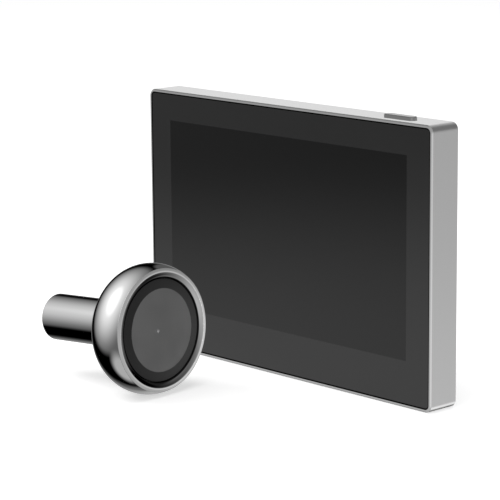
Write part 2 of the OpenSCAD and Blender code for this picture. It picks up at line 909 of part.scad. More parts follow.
module button_cap(h) {
  half = button_w / 2;
  edge = half - button_chamfer;
  for (x = [-1, 1])
    translate([x * (button_l - button_w) / 2, 0, 0])
      rotate_extrude()
        polygon([[0, 0], [half, 0], [half, h - button_chamfer], [edge, h], [0, h]]);
  rotate([90, 0, 90])
    linear_extrude(button_l - button_w, center = true)
      polygon([
        [-half, 0], [half, 0], [half, h - button_chamfer], [edge, h], [-edge, h], [-half, h - button_chamfer]
      ]);
}

module bracket_outline(grow)
  translate([0, bracket_z])
    round_rect(bracket_w + 2 * grow, bracket_h + 2 * grow, bracket_r + grow);

module cover_edge(inset)
  face_rect(
    cavity_w - 2 * cover_gap - 2 * inset, cavity_h - 2 * cover_gap - 2 * inset,
    max(cavity_r - cover_gap - inset, least_r)
  );

module sound_holes()
  for (i = [0 : grille_columns - 1], j = [0 : grille_rows - 1])
    translate([
      speaker_x + (i - (grille_columns - 1) / 2) * grille_pitch,
      speaker_z + (j - (grille_rows - 1) / 2) * grille_pitch
    ])
      circle(grille_r);

module rear_cover()
  color("#3a3b3d")
    difference() {
      union() {
        layer(cover_y, cover_t)
          cover_edge(0);
        layer(cover_y - skirt_d, skirt_d + cover_t / 2)
          difference() {
            cover_edge(0);
            cover_edge(skirt_t);
            // Gaps in the skirt for the charging port and the microphone
            translate([-monitor_w / 2, port_z])
              square([4 * frame_wall, port_w + 4 * port_gap], center = true);
            translate([microphone_x, 0])
              square([2 * boot_r + 4 * port_gap, 4 * frame_wall], center = true);
          }
        layer(bracket_inner_y, cover_back_y - bracket_inner_y)
          bracket_outline(bracket_wall);
        for (spot = post_spots)
          peg(spot, collar_r, collar_y, collar_d + cover_t / 2);
        peg(reset_spot, reset_guide_r, board_back_y + reset_size[2] + reset_rise + reset_guide_gap,
          cover_y - board_back_y - reset_size[2] - reset_rise - reset_guide_gap + cover_t / 2);
      }
      layer(bracket_floor_y, bracket_d + cut)
        bracket_outline(0);
      // Hook slots and the cable window in the floor of the recess
      layer(bracket_inner_y - cut, bracket_wall + 2 * cut) {
        for (x = [-1, 1], z = [-1, 1])
          translate([x * hook_pitch_x / 2, bracket_z + z * hook_pitch_z / 2])
            square([hook_l, hook_h], center = true);
        translate([0, cable_z])
          square([cable_window_w, cable_window_h], center = true);
      }
      layer(cover_y - cut, cover_t + 2 * cut)
        sound_holes();
      peg(reset_spot, reset_hole_r, board_back_y, monitor_d);
      for (spot = post_spots) {
        peg(spot, screw_pass_r, collar_y - cut, monitor_d);
        peg(spot, screw_head_r + sink_gap, cover_head_y, monitor_d);
      }
    }

module cover_screws()
  color("#2a2a2a")
    for (spot = post_spots)
      back_screw(spot, cover_head_y, cover_head_y - collar_y + cover_screw_l, screw_head_h);

// Helpers for the camera: its axis is local Z, and drops are measured back from the bezel's crest

module in_camera()
  translate([camera_x, -camera_front, camera_z])
    rotate([0, 90 - camera_tilt, camera_turn])
      translate([0, 0, belly_drop])
        children();

module disc(r, drop, t)
  translate([0, 0, -drop - t])
    cylinder(r = r, h = t);

module ring(r_out, r_in, drop, t)
  difference() {
    disc(r_out, drop, t);
    disc(r_in, drop - cut, t + 2 * cut);
  }

module round_stack(count, r, start)
  for (i = [0 : count - 1])
    rotate(start + i * 360 / count)
      translate([r, 0, 0])
        children();

module chip(size, drop)
  translate([-size[0] / 2, -size[1] / 2, -drop])
    cube(size);

// Camera

module head_section()
  difference() {
    intersection() {
      union() {
        translate([belly_r, -belly_drop])
          circle(head_round, $fn = fine_fn);
        translate([0, -head_depth])
          square([belly_r, head_depth]);
      }
      translate([0, -head_depth])
        square([head_r + cut, head_depth - shell_front]);
    }
    // Front bore down to the window's seat, and the opening through the seat
    translate([0, -seat_drop])
      square([spigot_r + fit_gap, seat_drop]);
    translate([0, -seat_drop - seat_t - cut])
      square([seat_r, seat_t + 2 * cut]);
    // Hollow behind the seat, inside an even wall
    intersection() {
      translate([belly_r, -belly_drop])
        circle(head_round - head_wall, $fn = fine_fn);
      translate([0, -head_depth])
        square([head_r, head_depth - seat_drop - seat_t]);
    }
    translate([0, -back_plate_drop])
      square([belly_r + cut, back_plate_drop - seat_drop - seat_t]);
    // Bore for the plate that closes the back
    translate([0, -head_depth - cut])
      square([plate_bore_r, head_depth - seat_drop - seat_t]);
  }

module head_shell()
  color("silver")
    in_camera()
      rotate_extrude($fn = fine_fn)
        head_section();

module bezel_ring()
  color("gainsboro")
    in_camera()
      rotate_extrude($fn = fine_fn)
        polygon([
          [bezel_bore_r, -bevel_d], [bezel_bore_r + bevel_w, 0], [bezel_bore_r + bevel_w + crest_w, 0],
          [bezel_r, -slope_d], [bezel_r, -shell_front], [spigot_r, -shell_front],
          [spigot_r, -seat_drop], [bezel_bore_r, -seat_drop]
        ]);

module window()
  color("#4a4b4d")
    in_camera()
      difference() {
        intersection() {
          translate([0, 0, -window_drop - window_t])
            cylinder(r = window_r, h = window_r);
          translate([0, 0, window_centre])
            sphere(r = window_dome_r, $fn = fine_fn);
        }
        intersection() {
          disc(window_clear_r, -cut, window_drop + window_t + 2 * cut);
          translate([0, 0, window_centre])
            sphere(r = window_dome_r - window_t, $fn = fine_fn);
        }
      }

module window_seal()
  color("#1a1a1a")
    in_camera()
      ring(window_r, window_r - window_seal_w, window_drop + window_t, window_seal_t);

module lens_hood()
  color("#2b2c2e")
    in_camera()
      difference() {
        union() {
          disc(hood_r, hood_drop, hood_t);
          round_stack(stack_count, stack_r, 0)
            disc(hood_post_r, hood_drop + hood_t / 2, hood_t / 2 + lamp_gap);
        }
        disc(hood_hole_r, hood_drop - cut, hood_t + 2 * cut);
        round_stack(lamp_count, stack_r, lamp_turn)
          disc(lamp_window_r, hood_drop - cut, hood_t + 2 * cut);
        round_stack(stack_count, stack_r, 0) {
          disc(stack_pass_r, hood_drop - cut, hood_t + lamp_gap + 2 * cut);
          disc(screw_head_r + sink_gap, hood_drop - cut, stack_sink + cut);
        }
      }

module lamp_board()
  color("darkgreen")
    in_camera()
      difference() {
        ring(lamp_board_r, lamp_board_hole_r, lamp_board_drop, lamp_board_t);
        round_stack(stack_count, stack_r, 0)
          disc(stack_pass_r, lamp_board_drop - cut, lamp_board_t + 2 * cut);
      }

module infrared_lamps()
  color("#3b2f45")
    in_camera()
      round_stack(lamp_count, stack_r, lamp_turn) {
        chip(lamp_size, lamp_board_drop);
        intersection() {
          translate([0, 0, -lamp_board_drop + lamp_size[2] / 2])
            cylinder(r = lamp_dome_r, h = 2 * lamp_dome_r);
          translate([0, 0, -lamp_board_drop + lamp_size[2] / 2])
            sphere(r = lamp_dome_r);
        }
      }

module stack_spacers()
  color("goldenrod")
    in_camera()
      round_stack(stack_count, stack_r, 0)
        ring(pillar_r, stack_pass_r, spacer_drop, spacer_l);

module stack_screws()
  color("dimgray")
    in_camera()
      round_stack(stack_count, stack_r, 0)
        difference() {
          union() {
            disc(screw_head_r, hood_drop + stack_sink - screw_head_h, screw_head_h);
            disc(stack_screw_r, hood_drop + stack_sink, stack_screw_end - hood_drop - stack_sink);
          }
          translate([0, 0, -hood_drop - stack_sink + screw_head_h - recess_d])
            linear_extrude(recess_d + cut)
              cross_recess();
        }

module lens_barrel()
  color("#1f2022")
    in_camera()
      difference() {
        union() {
          disc(lens_flange_r, lens_front, lens_flange_t);
          disc(lens_body_r, lens_front + lens_flange_t / 2, lens_end - lens_front - lens_flange_t / 2);
        }
        disc(lens_waist_r, lens_front - cut, lens_end);
        disc(front_lens_r + fit_gap, lens_front - cut, lens_seat + cut);
        disc(rear_lens_r + fit_gap, lens_end - lens_step, lens_step + cut);
      }

module front_lens()
  color("#55606e")
    in_camera()
      intersection() {
        disc(front_lens_r, front_lens_back - 2 * front_lens_r, 2 * front_lens_r);
        translate([0, 0, -front_lens_back + front_lens_edge - front_lens_drop])
          sphere(r = front_lens_curve);
      }

module rear_lens()
  color("#55606e")
    in_camera()
      disc(rear_lens_r, lens_end - lens_step, lens_step - loose_gap);

module lens_retainer()
  color("#2c2d30")
    in_camera() {
      ring(retainer_out_r, retainer_in_r, lens_front - retainer_t, retainer_t);
      ring(
        front_lens_r, retainer_in_r, lens_front - retainer_t / 2,
        retainer_t / 2 + lens_seat - front_lens_edge - front_lens_drop_at(retainer_in_r)
      );
    }

// How far the front lens rises above its edge at a radius
function front_lens_drop_at(r) = sqrt(pow(front_lens_curve, 2) - pow(r, 2)) - front_lens_drop;

module lens_holder()
  color("#242527")
    in_camera()
      difference() {
        union() {
          disc(holder_r, lens_end - holder_l, holder_l);
          chip([holder_base, holder_base, holder_base_t], sensor_board_drop);
        }
        disc(lens_body_r + fit_gap, lens_end - holder_l - cut, holder_l + cut);
        chip([sensor_pocket, sensor_pocket, holder_base_t + cut], sensor_board_drop + cut / 2);
      }

module image_sensor()
  color("#3d4a5c")
    in_camera()
      chip(sensor_size, sensor_board_drop);

module sensor_board()
  color("darkgreen")
    in_camera()
      difference() {
        disc(sensor_board_r, sensor_board_drop, board_t);
        round_stack(stack_count, stack_r, 0)
          disc(stack_pass_r, sensor_board_drop - cut, board_t + 2 * cut);
      }

module sensor_socket()
  color("ivory")
    in_camera()
      difference() {
        chip(sensor_socket_size, pillar_drop + sensor_socket_size[2]);
        translate([0, sensor_socket_size[1] / 2 - mouth_lip, 0])
          chip(sensor_mouth, pillar_drop + mouth_lip + sensor_mouth[2]);
      }

module back_plate()
  color("gray")
    in_camera()
      difference() {
        union() {
          disc(plate_bore_r - 2 * fit_gap, back_plate_drop, back_plate_t);
          disc(tube_r + collar_wall, tube_drop, collar_l + back_plate_t / 2);
          round_stack(stack_count, stack_r, 0)
            disc(pillar_r, pillar_drop, back_plate_drop - pillar_drop + back_plate_t / 2);
        }
        disc(tube_spigot_r + fit_gap, tube_drop - cut, head_depth);
        round_stack(stack_count, stack_r, 0)
          disc(stack_hole_r, pillar_drop - cut, stack_screw_end - pillar_drop + cut + loose_gap);
      }

module door_seal()
  color("#222222")
    in_camera()
      ring(back_r - seal_margin, seal_bore_r, head_depth, door_seal_t);

module tube()
  color("silver")
    in_camera()
      rotate_extrude($fn = fine_fn)
        polygon([
          [bush_r, -tube_drop], [tube_spigot_r, -tube_drop], [tube_spigot_r, -head_depth],
          [tube_r, -head_depth], [tube_r, -tube_reach + tube_chamfer],
          [tube_r - tube_chamfer, -tube_reach], [tube_bore_r, -tube_reach],
          [tube_bore_r, -head_depth], [bush_r, -head_depth]
        ]);

module cable_bush()
  color("#1a1a1a")
    in_camera()
      difference() {
        disc(bush_r - fit_gap, tube_drop, bush_l);
        translate([0, 0, -tube_drop - bush_l - cut])
          linear_extrude(bush_l + 2 * cut)
            pill(bush_slot[0], bush_slot[1]);
      }

frame();
cover_glass();
glass_tape();
lcd_panel();
backlight_tray();
mid_plate();
plate_screws();
main_board();
board_screws();
shield_can();
wireless_module();
memory_chips();
cable_socket();
battery_socket();
charging_port();
reset_switch();
reset_plunger();
battery();
battery_tape();
speaker();
speaker_gasket();
microphone();
microphone_boot();
switch_board();
switch_board_screws();
power_switch();
switch_plunger();
power_button();
rear_cover();
cover_screws();
head_shell();
bezel_ring();
window();
window_seal();
lens_hood();
lamp_board();
infrared_lamps();
stack_spacers();
stack_screws();
lens_barrel();
front_lens();
rear_lens();
lens_retainer();
lens_holder();
image_sensor();
sensor_board();
sensor_socket();
back_plate();
door_seal();
tube();
cable_bush();
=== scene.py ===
"""Looks of a peephole door camera: a flat indoor monitor and a round outdoor camera on a tube."""

from __future__ import annotations

import json
import logging
import math
from dataclasses import dataclass, field
from enum import Enum

import bmesh
import bpy
from mathutils import Matrix, Vector

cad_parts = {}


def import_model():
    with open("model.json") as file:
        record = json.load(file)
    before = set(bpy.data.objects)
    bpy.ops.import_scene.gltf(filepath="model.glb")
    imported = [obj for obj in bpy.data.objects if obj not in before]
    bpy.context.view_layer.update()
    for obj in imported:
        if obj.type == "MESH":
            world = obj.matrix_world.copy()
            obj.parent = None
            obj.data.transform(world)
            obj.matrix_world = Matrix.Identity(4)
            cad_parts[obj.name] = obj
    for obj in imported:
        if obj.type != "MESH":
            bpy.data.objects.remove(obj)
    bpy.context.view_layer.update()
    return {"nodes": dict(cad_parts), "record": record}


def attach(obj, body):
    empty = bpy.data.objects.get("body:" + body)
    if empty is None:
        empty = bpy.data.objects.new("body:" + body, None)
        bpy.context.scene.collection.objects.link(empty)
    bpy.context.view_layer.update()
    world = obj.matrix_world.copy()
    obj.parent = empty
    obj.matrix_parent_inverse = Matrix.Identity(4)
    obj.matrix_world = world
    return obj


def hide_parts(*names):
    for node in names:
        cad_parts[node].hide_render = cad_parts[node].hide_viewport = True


LOG = logging.getLogger("door_camera")
MM = 0.001
WHITE = (1.0, 1.0, 1.0, 1.0)
# A Mix node's sockets for two colours and for their mix
FIRST, SECOND, MIXED = 6, 7, 2
# Most of a noise lies within this range
GRAIN_RANGE = {"From Min": 0.3, "From Max": 0.7}
# Layers of a noise in a grain, in a soft wave and in a haze
GRAIN_DETAIL, WAVE_DETAIL, HAZE_DETAIL = 3.0, 2.0, 1.0

Colour = tuple[float, float, float, float]
Pair = tuple[float, float]
Triple = tuple[float, float, float]
Object = bpy.types.Object
Tree = bpy.types.NodeTree
Socket = bpy.types.NodeSocket


def linear(colour: str) -> Colour:
    """Turn an sRGB hex colour into linear light.

    Args:
        colour: Six hex digits after a hash sign.

    Returns:
        Linear red, green, blue and an alpha of 1.
    """
    parts = [int(colour[i : i + 2], 16) / 255 for i in (1, 3, 5)]
    light = [c / 12.92 if c <= 0.04045 else ((c + 0.055) / 1.055) ** 2.4 for c in parts]
    return (*light, 1.0)


def per_metre(size_mm: float) -> float:
    """Give the texture scale at which one feature is size_mm wide."""
    return 1 / (size_mm * MM)


def add_node(
    tree: Tree, kind: str, inputs: dict[str | int, object] | None = None, **settings: object
) -> bpy.types.Node:
    """Add a shader node with its settings, values and links.

    Args:
        tree: The tree that takes the node.
        kind: Blender's name of the node, without ShaderNode before it.
        inputs: For each input, a socket to link or a value to set.
        **settings: Properties of the node itself.

    Returns:
        The new node.
    """
    node = tree.nodes.new("ShaderNode" + kind)
    for key, value in settings.items():
        setattr(node, key, value)
    for key, value in (inputs or {}).items():
        if isinstance(value, Socket):
            tree.links.new(value, node.inputs[key])
        else:
            node.inputs[key].default_value = value
    return node


def bare_tree(owner: bpy.types.Material | bpy.types.World | bpy.types.Light) -> Tree:
    """Turn an owner's nodes on and clear them.

    Args:
        owner: The material, world or light.

    Returns:
        Its empty node tree.
    """
    owner.use_nodes = True
    owner.node_tree.nodes.clear()
    return owner.node_tree


def finished_mesh(bm: bmesh.types.BMesh, name: str) -> bpy.types.Mesh:
    """Store an edited mesh under a name and free the editor.

    Args:
        bm: The edited mesh.
        name: The stored mesh's name.

    Returns:
        The stored mesh.
    """
    mesh = bpy.data.meshes.new(name)
    bm.to_mesh(mesh)
    bm.free()
    return mesh


def put(name: str, data: bpy.types.ID) -> Object:
    """Put a new object into the scene.

    Args:
        name: The object's name.
        data: Its mesh, light or camera.

    Returns:
        The object.
    """
    obj = bpy.data.objects.new(name, data)
    bpy.context.scene.collection.objects.link(obj)
    return obj


def direction(azimuth: float, elevation: float) -> Vector:
    """Give the unit vector for an azimuth from the front, growing to the right, and an elevation."""
    a, e = math.radians(azimuth), math.radians(elevation)
    return Vector((math.sin(a) * math.cos(e), -math.cos(a) * math.cos(e), math.sin(e)))


def show_only(light: Object, pieces: list[Object]) -> None:
    """Let only some pieces take an object's light.

    Args:
        light: The lamp or lit object.
        pieces: The pieces that take its light.
    """
    group = bpy.data.collections.new(light.name + "_shown")
    for piece in pieces:
        group.objects.link(piece)
    light.light_linking.receiver_collection = group


class Slot(Enum):
    """The record's material slots."""

    FRAME_METAL = "frame_metal"
    SCREEN_GLASS = "screen_glass"
    BLACK_TAPE = "black_tape"
    PANEL_GLASS = "panel_glass"
    PRESSED_METAL = "pressed_metal"
    SCREW_STEEL = "screw_steel"
    BLACK_SCREW = "black_screw"
    CIRCUIT_BOARD = "circuit_board"
    SHIELD_METAL = "shield_metal"
    CHIP_RESIN = "chip_resin"
    SOCKET_PLASTIC = "socket_plastic"
    WHITE_PLASTIC = "white_plastic"
    BATTERY_POUCH = "battery_pouch"
    BLACK_PLASTIC = "black_plastic"
    BLACK_RUBBER = "black_rubber"
    BUTTON_METAL = "button_metal"
    COVER_PLASTIC = "cover_plastic"
    CHROME = "chrome"
    SMOKED_WINDOW = "smoked_window"
    LENS_GLASS = "lens_glass"
    LAMP_RESIN = "lamp_resin"
    BRASS = "brass"


@dataclass(frozen=True)
class CameraAxis:
    """The camera unit's axis, from its tube to its window; drops run back from the bezel's crest."""

    place_mm: Triple = (-20.1, -68.5, 28.681)
    belly_drop: float = 7.7
    turn: float = 4.7
    tilt: float = 3.2

    def rotation(self) -> Matrix:
        """Give the turn from the unit's own frame, with its axis along X, to the shared frame.

        Returns:
            The turn, as a 3 x 3 matrix.
        """
        turn, tilt = math.radians(self.turn), math.radians(self.tilt)
        ahead = Vector((math.cos(tilt) * math.cos(turn), math.cos(tilt) * math.sin(turn), math.sin(tilt)))
        side = Vector((-math.sin(turn), math.cos(turn), 0))
        return Matrix((ahead, side, ahead.cross(side))).transposed()

    def crest(self) -> Vector:
        """Give the middle of the bezel's crest, in metres."""
        return Vector(self.place_mm) * MM + self.rotation() @ Vector((self.belly_drop * MM, 0, 0))

    def matrix(self) -> Matrix:
        """Give the whole move from millimetres in the unit's own frame to the shared frame."""
        return Matrix.Translation(self.crest()) @ self.rotation().to_4x4() @ Matrix.Scale(MM, 4)

    def local(self, tree: Tree, place: Socket) -> Socket:
        """Turn object coordinates into the unit's own frame, from its crest, in metres."""
        return add_node(
            tree,
            "Mapping",
            {"Vector": place, "Location": self.crest(), "Rotation": self.rotation().to_euler("XYZ")},
            vector_type="TEXTURE",
        ).outputs["Vector"]

    def round(self, tree: Tree, place: Socket) -> tuple[Socket, Socket]:
        """Give the height along the axis and the radius about it, in metres.

        Args:
            tree: The material's node tree.
            place: Object coordinates.

        Returns:
            The height above the crest and the radius.
        """
        local = self.local(tree, place)
        height = add_node(tree, "SeparateXYZ", {"Vector": local}).outputs["X"]
        across = add_node(tree, "VectorMath", {0: local, 1: (0, 1, 1)}, operation="MULTIPLY")
        radius = add_node(tree, "VectorMath", {0: across.outputs["Vector"]}, operation="LENGTH")
        return height, radius.outputs["Value"]


AXIS = CameraAxis()


@dataclass(frozen=True)
class Edge:
    """One edge of a printed or cut region, or of painted shade, where a measure in metres reaches a length.
    """

    measure: Socket
    at_mm: float
    # Whether the region lies beyond the edge; otherwise it lies before it
    beyond: bool = True
    # Half the width over which the region fades
    soft_mm: float = 0.01


@dataclass(frozen=True)
class Finish:
    """A material's name and the way to build it."""

    name: str
    # Size of the noise that varies the surface, and its layers
    grain_mm: float = field(default=0.4, kw_only=True)
    detail: float = field(default=GRAIN_DETAIL, kw_only=True)

    def build(self) -> bpy.types.Material:
        """Make the material from the finish's own surface.

        Returns:
            The material.
        """
        material = bpy.data.materials.new(self.name)
        tree = bare_tree(material)
        place = add_node(tree, "TexCoord").outputs["Object"]
        add_node(tree, "OutputMaterial", {"Surface": self.surface(tree, place)})
        return material

    def surface(self, tree: Tree, place: Socket) -> Socket:
        """Add the finish's shader.

        Args:
            tree: The material's node tree.
            place: Object coordinates.

        Returns:
            The shader's output.
        """
        raise NotImplementedError

    def grain(self, tree: Tree, place: Socket) -> Socket:
        """Add the noise that varies the surface and give its value, from 0 to 1."""
        inputs = {"Vector": place, "Scale": per_metre(self.grain_mm), "Detail": self.detail}
        return add_node(tree, "TexNoise", inputs).outputs["Fac"]

    @staticmethod
    def layered(tree: Tree, ground: str | Socket, *layers: tuple[Socket, str | Socket]) -> Socket:
        """Lay colours over one another.

        Args:
            tree: The material's node tree.
            ground: The lowest colour.
            *layers: For each further colour, how much it covers those below, and the colour.

        Returns:
            The mixed colour.
        """
        mixed = linear(ground) if isinstance(ground, str) else ground
        for share, colour in layers:
            over = linear(colour) if isinstance(colour, str) else colour
            inputs = {"Factor": share, FIRST: mixed, SECOND: over}
            mixed = add_node(tree, "Mix", inputs, data_type="RGBA").outputs[MIXED]
        return mixed

    @staticmethod
    def grained(
        tree: Tree,
        grain: Socket,
        tones: tuple[str, str] | Socket,
        gloss: Pair | Socket,
        relief: Pair | None = None,
        inputs: dict[str, object] | None = None,
    ) -> Socket:
        """Add the shader of a surface whose colour, gloss and height follow one grain.

        Args:
            tree: The material's node tree.
            grain: The grain, from 0 to 1.
            tones: The colours where the grain is low and high, or a colour mixed already.
            gloss: The roughness where the grain is low and high, or a roughness mixed already.
            relief: The grain's height in millimetres and its strength, or none on a smooth surface.
            inputs: The shader's other values and links.

        Returns:
            The shader's output.
        """
        if isinstance(tones, tuple):
            tones = Finish.layered(tree, tones[0], (grain, tones[1]))
        if isinstance(gloss, tuple):
            gloss = add_node(
                tree, "MapRange", {"Value": grain, **GRAIN_RANGE, "To Min": gloss[0], "To Max": gloss[1]}
            ).outputs["Result"]
        sockets = {"Base Color": tones, "Roughness": gloss, **(inputs or {})}
        if relief:
            sockets["Normal"] = add_node(
                tree, "Bump", {"Height": grain, "Distance": relief[0] * MM, "Strength": relief[1]}
            ).outputs["Normal"]
        return add_node(tree, "BsdfPrincipled", sockets).outputs["BSDF"]

    @staticmethod
    def region(tree: Tree, *edges: Edge) -> Socket:
        """Give 1 within all of some edges and 0 elsewhere.

        Args:
            tree: The material's node tree.
            *edges: The region's edges.

        Returns:
            The share.
        """
        share: Socket | float = 1.0
        for edge in edges:
            before, after = (0.0, 1.0) if edge.beyond else (1.0, 0.0)
            inside = add_node(
                tree,
                "MapRange",
                {
                    "Value": edge.measure,
                    "From Min": (edge.at_mm - edge.soft_mm) * MM,
                    "From Max": (edge.at_mm + edge.soft_mm) * MM,
                    "To Min": before,
                    "To Max": after,
                },
            ).outputs["Result"]
            both = add_node(tree, "Math", {0: share, 1: inside}, operation="MULTIPLY")
            share = both.outputs["Value"]
        return share

    @staticmethod
    def reach(tree: Tree, place: Socket, half_mm: Pair, z_mm: float, r_mm: float) -> Socket:
        """Measure from the corner centres of an upright rectangle with round corners.

        Args:
            tree: The material's node tree.
            place: Object coordinates.
            half_mm: Half the rectangle's width and height.
            z_mm: The height of its middle.
            r_mm: Its corner radius, at which its outline lies.

        Returns:
            The distance in metres, 0 inside the corner centres.
        """
        steps = (
            ("SUBTRACT", (0.0, 0.0, z_mm * MM)),
            ("MULTIPLY", (1.0, 0.0, 1.0)),
            ("ABSOLUTE", None),
            ("SUBTRACT", ((half_mm[0] - r_mm) * MM, 0.0, (half_mm[1] - r_mm) * MM)),
            ("MAXIMUM", (0.0, 0.0, 0.0)),
        )
        spot = place
        for operation, value in steps:
            inputs = {0: spot} if value is None else {0: spot, 1: value}
            spot = add_node(tree, "VectorMath", inputs, operation=operation).outputs["Vector"]
        return add_node(tree, "VectorMath", {0: spot}, operation="LENGTH").outputs["Value"]

    @staticmethod
    def cover_with_painted_shade(tree: Tree, bare: Socket, share: Socket, colour: str) -> Socket:
        """Cover a bare shader with painted shade, a matt colour, by a share from 0 to 1, and give the result.
        """
        shade_paint = add_node(tree, "BsdfDiffuse", {"Color": linear(colour)}).outputs["BSDF"]
        return add_node(tree, "MixShader", {"Fac": share, 1: bare, 2: shade_paint}).outputs["Shader"]


@dataclass(frozen=True)
class Moulded(Finish):
    """A moulded, coated or plated surface with a fine grain in its colour, gloss and height."""

    colour: str = "#808080"
    shade: str = "#707070"
    metallic: float = 0.0
    roughness: Pair = (0.4, 0.5)
    ior: float = 1.5
    # The grain's width as a share of its length along the monitor
    slimness: float = 1.0
    bump_mm: float = 0.004
    bump_strength: float = 1.0

    def surface(self, tree: Tree, place: Socket) -> Socket:
        """Add the shader, with one grain for colour, gloss and height.

        Args:
            tree: The material's node tree.
            place: Object coordinates.

        Returns:
            The shader's output.
        """
        drawn = add_node(
            tree, "Mapping", {"Vector": place, "Scale": (self.slimness, 1.0, 1.0)}, vector_type="POINT"
        ).outputs["Vector"]
        return self.grained(
            tree,
            self.grain(tree, drawn),
            (self.shade, self.colour),
            self.roughness,
            (self.bump_mm, self.bump_strength),
            {"Metallic": self.metallic, "IOR": self.ior},
        )


@dataclass(frozen=True)
class BrushedSheet(Moulded):
    """Rolled metal sheet with straight mill lines along the monitor's width."""

    metallic: float = 1.0
    roughness: Pair = (0.3, 0.45)
    slimness: float = 0.02
    bump_mm: float = 0.003
    bump_strength: float = 0.5
    grain_mm: float = field(default=0.3, kw_only=True)


@dataclass(frozen=True)
class SatinAluminium(Finish):
    """Anodised aluminium, blasted to a satin, with a bright cut edge and painted shade in the pocket for the
    glass.
    """

    colour: str = "#dadada"
    shade: str = "#d2d2d2"
    satin: Pair = (0.29, 0.33)
    bright: float = 0.12
    # Depth of the cut edge on the depth axis; nothing is cut where it lies ahead of the piece
    bright_from_mm: float = -7.35
    bright_soft_mm: float = 0.05
    # Blasting grit is finer than this, and is drawn coarser so that it shows
    grain_mm: float = field(default=0.35, kw_only=True)
    detail: float = field(default=WAVE_DETAIL, kw_only=True)
    # The grit's height in millimetres and its strength
    relief: Pair = (0.001, 0.3)
    # Half sizes, middle height, corner radius and floor of the pocket, which gets painted shade, a matt dark
    # colour in place of the shade in its gap
    pocket_mm: Pair = (88.3, 59.8)
    pocket_z_mm: float = 61.0
    pocket_r_mm: float = 2.2
    pocket_floor_mm: float = -6.3
    # How far the painted shade goes beyond the pocket's wall, so that it covers the wall itself
    shade_over_mm: float = 0.02
    shade_paint: str = "#060606"

    def surface(self, tree: Tree, place: Socket) -> Socket:
        """Add the shader, satin behind the cut edge and bright on it, with painted shade in the pocket.

        Args:
            tree: The material's node tree.
            place: Object coordinates.

        Returns:
            The shader's output.
        """
        grit = self.grain(tree, place)
        depth = add_node(tree, "SeparateXYZ", {"Vector": place}).outputs["Y"]
        uncut = self.region(tree, Edge(depth, self.bright_from_mm, soft_mm=self.bright_soft_mm))
        low, high = self.satin
        satin = add_node(
            tree, "MapRange", {"Value": grit, **GRAIN_RANGE, "To Min": low, "To Max": high}
        ).outputs["Result"]
        gloss = add_node(tree, "Mix", {"Factor": uncut, "A": self.bright, "B": satin})
        metal = self.grained(
            tree, grit, (self.shade, self.colour), gloss.outputs["Result"], self.relief, {"Metallic": 1.0}
        )
        # Painted shade: a matt dark colour on the pocket's wall and ledge stands in for the shade in the gap
        # round the glass
        reach = self.reach(tree, place, self.pocket_mm, self.pocket_z_mm, self.pocket_r_mm)
        pocket_shade = self.region(
            tree,
            Edge(reach, self.pocket_r_mm + self.shade_over_mm, beyond=False),
            Edge(depth, self.pocket_floor_mm, beyond=False),
        )
        return self.cover_with_painted_shade(tree, metal, pocket_shade, self.shade_paint)


@dataclass(frozen=True)
class PrintedGlass(Finish):
    """Hardened cover glass with a coat that halves its gloss, ink behind its border and the panel inside."""

    left_mm: float = -75.3
    right_mm: float = 74.9
    bottom_mm: float = 20.3
    top_mm: float = 108.3
    # Half the width over which the ink fades into the panel
    print_soft_mm: float = 0.12
    ink: str = "#202020"
    ink_shade: str = "#1e1e1e"
    panel: str = "#060606"
    panel_shade: str = "#080808"
    # Faint clouds of the coat, which vary its gloss
    grain_mm: float = field(default=26.0, kw_only=True)
    detail: float = field(default=HAZE_DETAIL, kw_only=True)
    gloss: Pair = (0.09, 0.12)
    ior: float = 1.5
    specular: float = 0.22
    # Half sizes, middle height and corner radius of the glass, and the width of its rim, which gets painted
    # shade in place of the shade in the gap round it
    half_mm: Pair = (87.95, 59.45)
    middle_mm: float = 61.0
    corner_mm: float = 1.85
    shade_rim_mm: float = 0.26
    shade_rim_soft_mm: float = 0.02
    shade_paint: str = "#050505"

    def surface(self, tree: Tree, place: Socket) -> Socket:
        """Add the shader, with a sharp edge between ink and panel, and painted shade on the rim.

        Args:
            tree: The material's node tree.
            place: Object coordinates.

        Returns:
            The shader's output.
        """
        axes = add_node(tree, "SeparateXYZ", {"Vector": place}).outputs
        inside = self.region(
            tree,
            Edge(axes["X"], self.left_mm, True, self.print_soft_mm),
            Edge(axes["X"], self.right_mm, False, self.print_soft_mm),
            Edge(axes["Z"], self.bottom_mm, True, self.print_soft_mm),
            Edge(axes["Z"], self.top_mm, False, self.print_soft_mm),
        )
        film = self.grain(tree, place)
        panel = self.layered(tree, self.panel_shade, (film, self.panel))
        colour = self.layered(tree, self.ink_shade, (film, self.ink), (inside, panel))
        glass = self.grained(
            tree, film, colour, self.gloss, inputs={"IOR": self.ior, "Specular IOR Level": self.specular}
        )
        # Painted shade: a matt black rim stands in for the shade in the gap between the glass and the frame
        reach = self.reach(tree, place, self.half_mm, self.middle_mm, self.corner_mm)
        rim = self.region(tree, Edge(reach, self.corner_mm - self.shade_rim_mm, soft_mm=self.shade_rim_soft_mm))
        return self.cover_with_painted_shade(tree, glass, rim, self.shade_paint)


